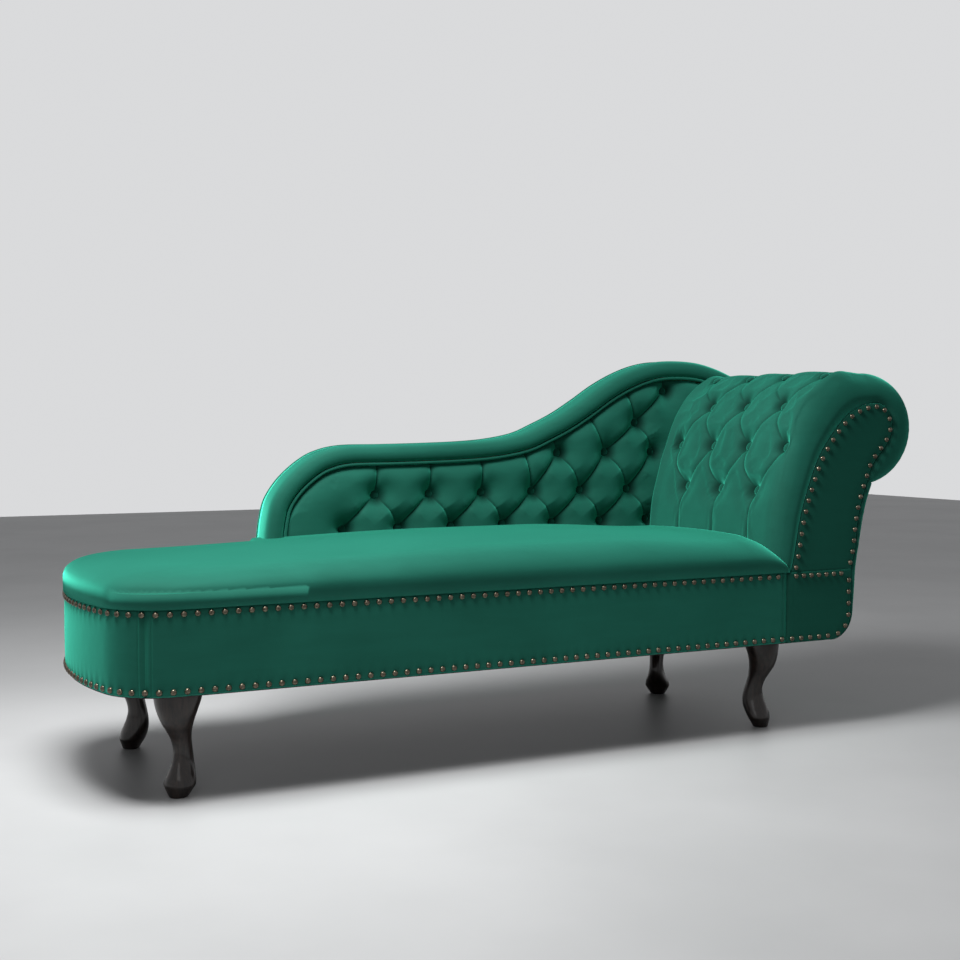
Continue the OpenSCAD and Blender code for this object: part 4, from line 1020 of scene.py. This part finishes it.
# Back border and welt.
# A padded velvet roll follows the edge of the back and runs on down behind the arm, and a
# thin covered cord is sewn in along its inner edge.
back_rise = 0.441
welt_d = 0.008
welt_gap = 0.0003
y_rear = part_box("back_outer_cover")[1].y - origin[1]
cover_t = 0.005
y_frame = y_rear - cover_t
back_len = arm_x + arm_w - back_start
BACK_SHARES = [
    [0.005, 0], [0.01, 0.132], [0.015, 0.24], [0.024, 0.33], [0.047, 0.424], [0.08, 0.505],
    [0.111, 0.55], [0.153, 0.574], [0.223, 0.577], [0.294, 0.581], [0.365, 0.588], [0.42, 0.601],
    [0.471, 0.628], [0.51, 0.673], [0.551, 0.728], [0.592, 0.798], [0.632, 0.872], [0.671, 0.93],
    [0.71, 0.973], [0.749, 0.998], [0.792, 1.004], [0.835, 0.995], [0.875, 0.967], [0.91, 0.93],
]
roll_line = roll_at(np.radians(np.linspace(72, -roll_end, 80)))
sweep = np.array([back_start, z_band]) + np.array(BACK_SHARES) * [back_len, back_rise]
back_top = smooth(np.vstack([sweep, roll_line[:1]]), 10)
cushion_rear = y_face - cushion_gap
border_z = float(cushion_top(back_start + border_w, cushion_rear, cushion_rear)) + cushion_gap
# The border starts this far below the top of the seat
border_sunk = 0.024
end_line = np.vstack([roll_line[1:-1], side_line])
rising = back_top[back_top[:, 1] > border_z - border_sunk]
border_line = even(np.vstack([rising, end_line]), 900)

# Section across the border: inset from its edge and depth from its front
BORDER_SECTION = smooth([
    (0.002, 0.06), (0.0005, 0.042), (0.0, 0.024), (0.0015, 0.013), (0.006, 0.005), (0.014, 0.0008),
    (0.022, 0.0), (0.03, 0.002), (0.0345, 0.006), (0.036, 0.012),
], 5)
# Behind, the border is folded in as far as the first inset, and is closed on the frame at the second
rear_fold = 0.012
rear_inset = 0.002


def along_line(line, inset_depth, y0):
    """Carries a section along a line in x and z: inset is taken to the right of travel and depth along y."""
    right = -path_normals(line)
    inset, depth = inset_depth[:, 0], inset_depth[:, 1]
    return upright(line[:, None, :] + inset[None, :, None] * right[:, None, :], y0 + depth)


border_front = along_line(border_line, BORDER_SECTION, y_face)
BORDER_REAR = np.array([
    [border_w, base_d - y_face], [rear_fold, base_d - y_face],
    [rear_fold, y_frame - y_face], [rear_inset, y_frame - y_face],
])
border_back = along_line(border_line, BORDER_REAR, y_face)
border = sleeve("back_border_roll", border_front, border_back, velvet)
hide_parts("back_border")

welt_path = even(np.vstack([rising, roll_line[:2]]), 700)
welt_path = welt_path + (border_w + welt_d / 2 + welt_gap) * -path_normals(welt_path)
welt_end = arm_x + arm_w * 0.4
welt_path = welt_path[welt_path[:, 0] < welt_end]


def cord_rings(line, y, r, sides=10):
    """Rings of a round cord along a line in x and z, at depth y."""
    normal = path_normals(line)
    a = np.linspace(0, 2 * np.pi, sides, endpoint=False)
    return upright(line[:, None, :] + r * np.cos(a)[None, :, None] * normal[:, None, :], y + r * np.sin(a))


rings = cord_rings(welt_path, y_face + welt_d * 0.9, welt_d * 0.4)
welt = piece("welt_cord", rings, tube_faces(*rings.shape[:2]), velvet)
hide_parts("back_welt")

# Back padding.
# Velvet over padding on the inside of the back, drawn down by rows of buttons that lean with
# the rising top, with a pleat along each line between buttons and up to the welt.
back_tuft = 0.034
back_pit_r = 0.058
back_wall = 0.045
back_pitch = back_len * 0.0973
back_col_0 = back_start + back_len * 0.197
BACK_ROW_SHARES = [0.177, 0.337, 0.528, 0.68, 0.845]
# How far each row is moved along, in eighths of the pitch
BACK_LEAN = [-0.4, 0.3, 0.5, 1.7, 2.6]
pad_line = welt_path + (welt_d / 2 + welt_gap) * -path_normals(welt_path)
pad_x0 = step_x + edge_gap + border_w / 16
pad_lift = 0.0003
back_pleat_bow = 0.05
# Buttons stand past the first share of the back's length, the upper three rows past the second, and all
# end at a share of the arm's width
first_share = 0.14
upper_first_share = 0.5
last_share = 0.12
order = np.argsort(pad_line[:, 0])


def pad_top(x):
    """Height of the padding's upper edge at x."""
    return np.interp(x, pad_line[order, 0], pad_line[order, 1])


def back_button_places():
    """Rows of buttons, every second row half a pitch along, kept where the padding is high enough."""
    spots = []
    for r, share in enumerate(BACK_ROW_SHARES):
        z = z_band + share * back_rise
        for k in range(-1, 8):
            x = back_col_0 + (k + (r + 1) % 2 / 2 + BACK_LEAN[r] / 8) * back_pitch
            first = back_start + (first_share if r < 2 else upper_first_share) * back_len
            fits = first < x < arm_x + arm_w * last_share and (r != 1 or k >= 0)
            if fits and z + button_d * 1.2 < pad_top(x):
                spots.append((x, z))
    return spots


back_spots = back_button_places()


def back_pleats():
    """Pleats up from each button to its neighbours, from the topmost to the welt and from the lowest down."""
    pleats = []
    for x, z in back_spots:
        up = [(a, b) for a, b in back_spots
              if 0.001 < b - z < 0.24 * back_rise and abs(a - x) < 0.85 * back_pitch]
        pleats += [((x, z), spot, back_pleat_bow if spot[0] > x else -back_pleat_bow) for spot in up]
        away = np.hypot(pad_line[:, 0] - x, pad_line[:, 1] - z)
        end = pad_line[np.argmin(away)]
        to_welt = math.atan2(end[1] - z, end[0] - x)
        apart = all(abs(math.atan2(b - z, a - x) - to_welt) > 0.7 for a, b in up)
        if away.min() < 0.25 * back_rise and apart:
            pleats.append(((x, z), tuple(end), 0))
        if z < z_band + 0.2 * back_rise:
            pleats.append(((x, z), (x, z_band), 0))
    return pleats


def back_surface(cols, rows):
    """The back's padding as a grid: column i at x, rows from the seat up to the welt. The face stands back
    from the padding's front by the tufts' depth times what the fullness leaves, and turns in at its edges."""
    x = np.linspace(pad_x0, welt_end, cols)[:, None]
    low = z_band + pad_lift
    z = low + (pad_top(x) - low) * np.linspace(0, 1, rows)[None, :]
    full, crease_shade, held = tufting(x, z, back_spots, back_pleats(), back_pit_r)
    edge = 0.4 + 0.6 * rolled(np.minimum(pad_top(x) - z, x - pad_x0), border_w)
    y = y_face + back_tuft * (1 - full * edge)
    front = np.stack([np.broadcast_to(x, z.shape), y, z], -1)
    ends = [np.column_stack([x[:, 0], height]) for height in (pad_top(x[:, 0]), np.full(cols, low))]
    back = upright(np.stack(ends, 1), y_face + back_wall)
    held = held | (rim_held(held.shape) > 0.5)
    return front, back, np.concatenate([crease_shade, np.zeros(back.shape[:2])], 1), held


front, back, crease_shade, _ = back_surface(460, 170)
coarse, _, _, held = back_surface(230, 85)
front += swell_to(coarse, held, front.shape[:2], -4, 0.004)
back_cover = sleeve("back_padding", front, back, velvet, crease_shade)
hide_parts("back_pad")

# Buttons.
# Small domed moulds covered with velvet, pulled down to the floor of their pits by twine that
# runs through the padding.
button_h = 0.0065
button_lift = 0.001
tip_r = 1e-5
slanted_line = (0.123, 0.456, 0.789)
# Radius and height from the crown to the base, as shares of the button's own
BUTTON_SHARES = [[0.0, 1.0], [0.5, 0.95], [0.88, 0.7], [1.0, 0.3], [0.8, 0.0]]
BUTTON_SECTION = smooth(BUTTON_SHARES, 3) * [button_d / 2, button_h]


def turned(section_points, places, sides):
    """Copies of a turned shape. The section gives radius and height; each place is a centre and the direction
    of its axis. The turn starts square to the axis and to a slanted line that lies along none of the axes."""
    a = np.linspace(0, 2 * np.pi, sides, endpoint=False)
    verts, faces, count = [], [], 0
    rows = len(section_points)
    ring = tube_faces(rows, sides)
    for centre, axis in places:
        axis = np.asarray(axis, float) / np.linalg.norm(axis)
        side = np.cross(axis, slanted_line)
        side /= np.linalg.norm(side)
        other = np.cross(axis, side)
        r, h = section_points[:, 0][:, None], section_points[:, 1][:, None]
        r = np.maximum(r, tip_r)
        ring_points = (r * np.cos(a))[..., None] * side + (r * np.sin(a))[..., None] * other
        grid = np.asarray(centre) + ring_points + (h * np.ones_like(a))[..., None] * axis
        verts.append(grid.reshape(-1, 3))
        faces += [[k + count for k in f] for f in ring]
        count += rows * sides
    return np.vstack(verts), faces


def arm_button_places():
    """Centre and axis of each arm button, on the floor of its pit."""
    normal = path_normals(inner_line)
    places = []
    for s, y in arm_spots:
        core, n = (read_at(s, inner_s, values) for values in (inner_line, normal))
        at = core + (arm_depth(s / pad_run, core[0], n[0]) - tuft_at(s / pad_run) + button_lift) * n
        places.append(((at[0], y, at[1]), (n[0], 0, n[1])))
    return places


# A darker copy of the same velvet: painted shade for the buttons, down in their pits
shaded_button_velvet = velvet_material(
    "shaded_button_velvet", pit_shade_colour, (0.006, 0.045, 0.032, 1), (0.008, 0.06, 0.042, 1))
places = arm_button_places()
buttons = piece("arm_button_set", *turned(BUTTON_SECTION, places, 24), shaded_button_velvet)
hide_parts("arm_buttons")
places = [((x, y_face + back_tuft - button_lift, z), (0, -1, 0)) for x, z in back_spots]
buttons = piece("back_button_set", *turned(BUTTON_SECTION, places, 24), shaded_button_velvet)
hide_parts("back_buttons")

# Decorative nails.
# Domed heads of antique bronze on steel shanks, driven at an even pitch along both edges of
# the band and round the facings.
nail_d = 0.011
nail_h = 0.004
scroll_nail_y = -0.0014
lower_nail_y = -0.0028
NAIL_SHARES = [[0.0, 1.0], [0.55, 0.84], [0.87, 0.45], [1.0, 0.06], [0.98, 0.0]]
NAIL_SECTION = smooth(NAIL_SHARES, 2) * [nail_d / 2, nail_h]
bronze = metal_material("antique_brass", (0.16, 0.135, 0.1, 1), (0.06, 0.048, 0.035, 1), 0.2, 300)


def face_row(line, pitch=nail_pitch, y=scroll_nail_y):
    """Places of nails on the front of the arm, along a line in x and z."""
    s = lengths(line)
    n = int(s[-1] / pitch)
    t = (np.arange(n) + 0.5) * s[-1] / n
    return [((x, y, z), (0, -1, 0)) for x, z in read_at(t, s, line)]


def band_row(z, start, end):
    """Places of nails round the base at height z, between two distances along the rim."""
    n = int((end - start) / nail_pitch)
    t = start + (np.arange(n) + 0.5) * (end - start) / n
    return [((*at, z), (*out, 0)) for at, out in zip(read_at(t, rim_s, rim), read_at(t, rim_s, rim_out))]


rear_stop = rim_s[-1] - (rail_end - back_start) - nail_d
upper = band_row(upper_z, nail_d, rear_stop)
nails = piece("upper_nail_row", *turned(NAIL_SECTION, upper, 12), bronze)
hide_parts("upper_nails")
lower_first = face_row(np.array([[side_x - core_low_r, lower_z], [arm_x, lower_z]]), y=lower_nail_y)
lower = lower_first + band_row(lower_z, 0, rear_stop)
nails = piece("lower_nail_row", *turned(NAIL_SECTION, lower, 12), bronze)
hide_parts("lower_nails")
scroll = np.vstack([inner_line, outer_line[1:]])
scroll = scroll - nail_inset * path_normals(scroll)
seam_row = np.array([[arm_x + nail_d, upper_z], [side_x - 1.8 * nail_d, upper_z]])
corner_arc = arc((side_x - core_low_r, leg_h + core_low_r), core_low_r - nail_inset, 0, -84, 30)
corner_row = np.vstack([[[side_x - nail_inset, z_band - nail_d]], corner_arc])
on_facings = face_row(scroll) + face_row(seam_row, nail_pitch * 0.78, lower_nail_y) + face_row(corner_row)
nails = piece("facing_nail_row", *turned(NAIL_SECTION, on_facings, 12), bronze)
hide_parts("arm_nails")

# Rear cover.
# One flat velvet panel over the back of the frame, turned round its edges, with a strip folded
# forward to the base at the end towards the foot.
flap_gap = 0.0002
# How far a turned edge reaches in and back, as shares of the cover's thickness
COVER_SHARES = [(0.0, 0.0), (0.0, 0.55), (0.2, 0.85), (0.8, 1.0), (3.0, 1.0)]
outline = np.vstack([[[back_start, leg_h]], back_top[back_top[:, 1] > z_band], end_line])
outline = even(np.vstack([outline, outline[:1]]), 901)[:-1]


def closed_normals(points):
    """Inward unit normals of a closed path that runs clockwise."""
    d = np.roll(points, -1, 0) - np.roll(points, 1, 0)
    d /= np.linalg.norm(d, axis=1)[:, None]
    return np.stack([d[:, 1], -d[:, 0]], -1)


inset, depth = np.array(COVER_SHARES).T[..., None] * cover_t
rings = upright(outline + inset[..., None] * closed_normals(outline), y_frame + depth)
flap_plan = np.array([
    [0, 0.0003], [0.0008, -flap_gap], [cover_t, -flap_gap], [cover_t, y_frame - base_d],
    [0, y_frame - base_d],
]) + [back_start, base_d + 0.0005]
flap = np.stack([np.column_stack([flap_plan, np.full(len(flap_plan), level)])
                 for level in np.linspace(leg_h + 0.001, border_z - 0.012, 12)])
faces = tube_faces(*rings.shape[:2]) + [[k + rings.size // 3 for k in f] for f in tube_faces(*flap.shape[:2])]
rear_cover = piece("rear_cover_panel", np.vstack([rings.reshape(-1, 3), flap.reshape(-1, 3)]), faces, velvet)
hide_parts("back_outer_cover")
